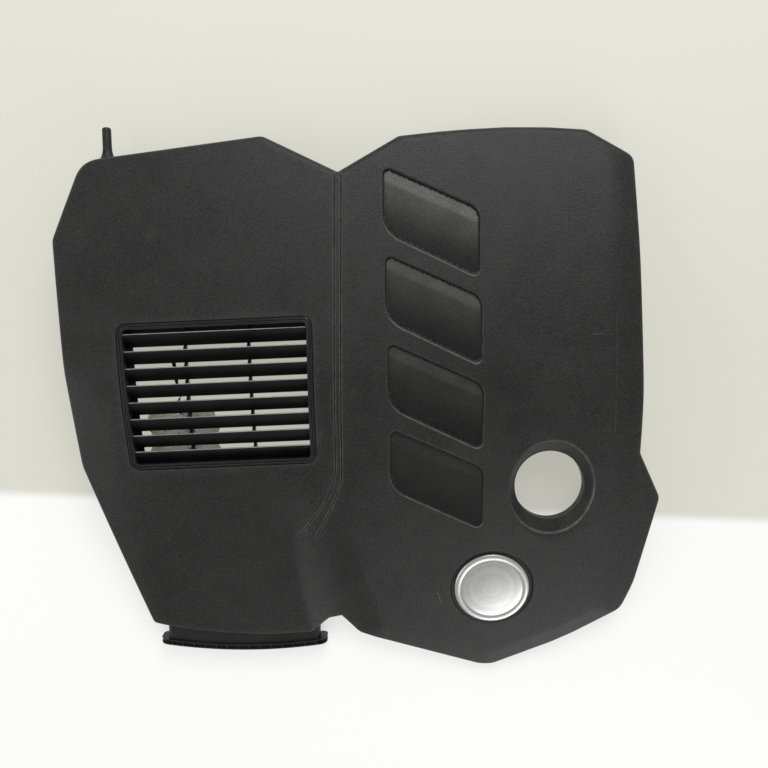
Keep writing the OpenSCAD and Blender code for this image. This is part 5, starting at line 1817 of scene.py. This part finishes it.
def paleFloor():
    # Lit floor that keeps the shadow, lifted a little where the camera, a reflection or glass sees it
    look, at = newLook("paleFloor")
    x, y, _ = look.axes(at)
    cloud = look.noise(at, 3.0, 3.0, 0.5)
    plain = look.mix(cloud * 0.4 + y.band(0.05, 0.5) * 0.6, studio["backDark"], studio["backLight"])
    # The front of the floor is whiter, from a line that runs a little askew
    colour = look.mix((-y - x * studio["askew"] - studio["frontAt"]).band(-0.006, 0.008), plain, studio["front"])
    look.set(Base_Color=colour, Roughness=0.85, Normal=look.bump(look.noise(at, 260.0, 3.0, 0.6), 0.0002, 0.3))
    rays = [look.add("ShaderNodeLightPath", None, output=name) for name in
            ("Is Camera Ray", "Is Glossy Ray", "Is Transmission Ray")]
    seen = rays[0].most(rays[1]).most(rays[2]) * studio["seen"]
    bright = look.add("ShaderNodeEmission", None, Color=colour, Strength=1.0)
    both = look.add("ShaderNodeMixShader", None, seen, Value(look, look.shader.outputs[0]), bright)
    look.tree.links.new(both.socket, look.tree.nodes["Material Output"].inputs[0])
    return look.material


def makeStudio():
    scene = bpy.context.scene
    scene.view_settings.view_transform = "Standard"
    camData = bpy.data.cameras.new("photoCamera")
    camData.lens, camData.sensor_width, camData.sensor_fit = studio["lens"], 36.0, "HORIZONTAL"
    camData.clip_start, camData.clip_end = 0.02, 50
    cam = scene.camera = inScene("photoCamera", camData)
    cam.location = [v / 1000 for v in studio["camera"]]
    cam.rotation_euler = (math.radians(studio["tilt"]), 0, 0)

    world = bpy.data.worlds.new("studioWorld")
    scene.world = world
    world.use_nodes = True
    background = world.node_tree.nodes["Background"]
    background.inputs["Color"].default_value = rgb(1.0, 1.0, 0.98)
    background.inputs["Strength"].default_value = studio["world"]

    half = studio["floor"]
    corners = [(-half, -half, 0), (half, -half, 0), (half, half, 0), (-half, half, 0)]
    mesh = newMesh("studioFloor", corners, [(0, 1, 2, 3)])
    mesh.materials.append(paleFloor())
    inScene("studioFloor", mesh)

    for name, where, size, power in studio["lamps"]:
        data = bpy.data.lights.new(name, "AREA")
        data.shape, data.size, data.energy = "DISK", size, power
        lamp = inScene(name, data)
        lamp.location = where
        lamp.rotation_euler = (Vector(studio["aim"]) - Vector(where)).to_track_quat("-Z", "Y").to_euler()


makeStudio()
print("studio ready")


def fitted(piece, slot, *nodes):
    # Rides on the model's one body and stands for the solids named
    if nodes:
        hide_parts(*nodes)
    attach(piece, "root")
    print("made", piece.name, len(piece.data.polygons), "faces")
    return piece


coverPlastic = mouldedPlastic()
fitted(buildShell(coverPlastic), "moulded_plastic", "cover_shell")
fitted(markEdges(buildKnurl(knurledPlastic())), "moulded_plastic")
ventMaterial = ventPlastic()
fitted(highlightSlatEdges(markEdges(buildVent(ventMaterial))), "vent_plastic", "vent_grille")
fitted(buildTornStrand(ventMaterial), "vent_plastic")
fitted(buildScrap(agedFilm()), "vent_plastic")
fitted(markEdges(buildBadge(badgeSilver())), "badge_silver", "blank_badge")
steel = zincSteel()
fitted(buildPushNuts(steel), "zinc_steel", "badge_push_nuts")
fitted(buildScrews(steel), "zinc_steel", "duct_screws")
fitted(buildWashers(steel), "zinc_steel", "pad_washers")
rubber = blackRubber()
for node, place in zip(("grommet_back_left", "grommet_back_right", "grommet_front_left", "grommet_front_right"),
                       fixings["towers"]):
    first, *others = node.split("_")
    grommet = buildGrommet(first + "".join(word.title() for word in others), place, rubber)
    fitted(markEdges(grommet), "black_rubber", node)
foam = soundFoam()
for name, corners, stakes, node in (("foamPadLeft", padLeft, stakesLeft, "foam_pad_left"),
                                    ("foamPadRight", padRight, stakesRight, "foam_pad_right")):
    pad = fitted(buildPad(name, corners, stakes, foam), "sound_foam", node)
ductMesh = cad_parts["intake_duct"].data
ductMesh.materials.clear()
ductMesh.materials.append(ductPlastic())
print("all pieces made")
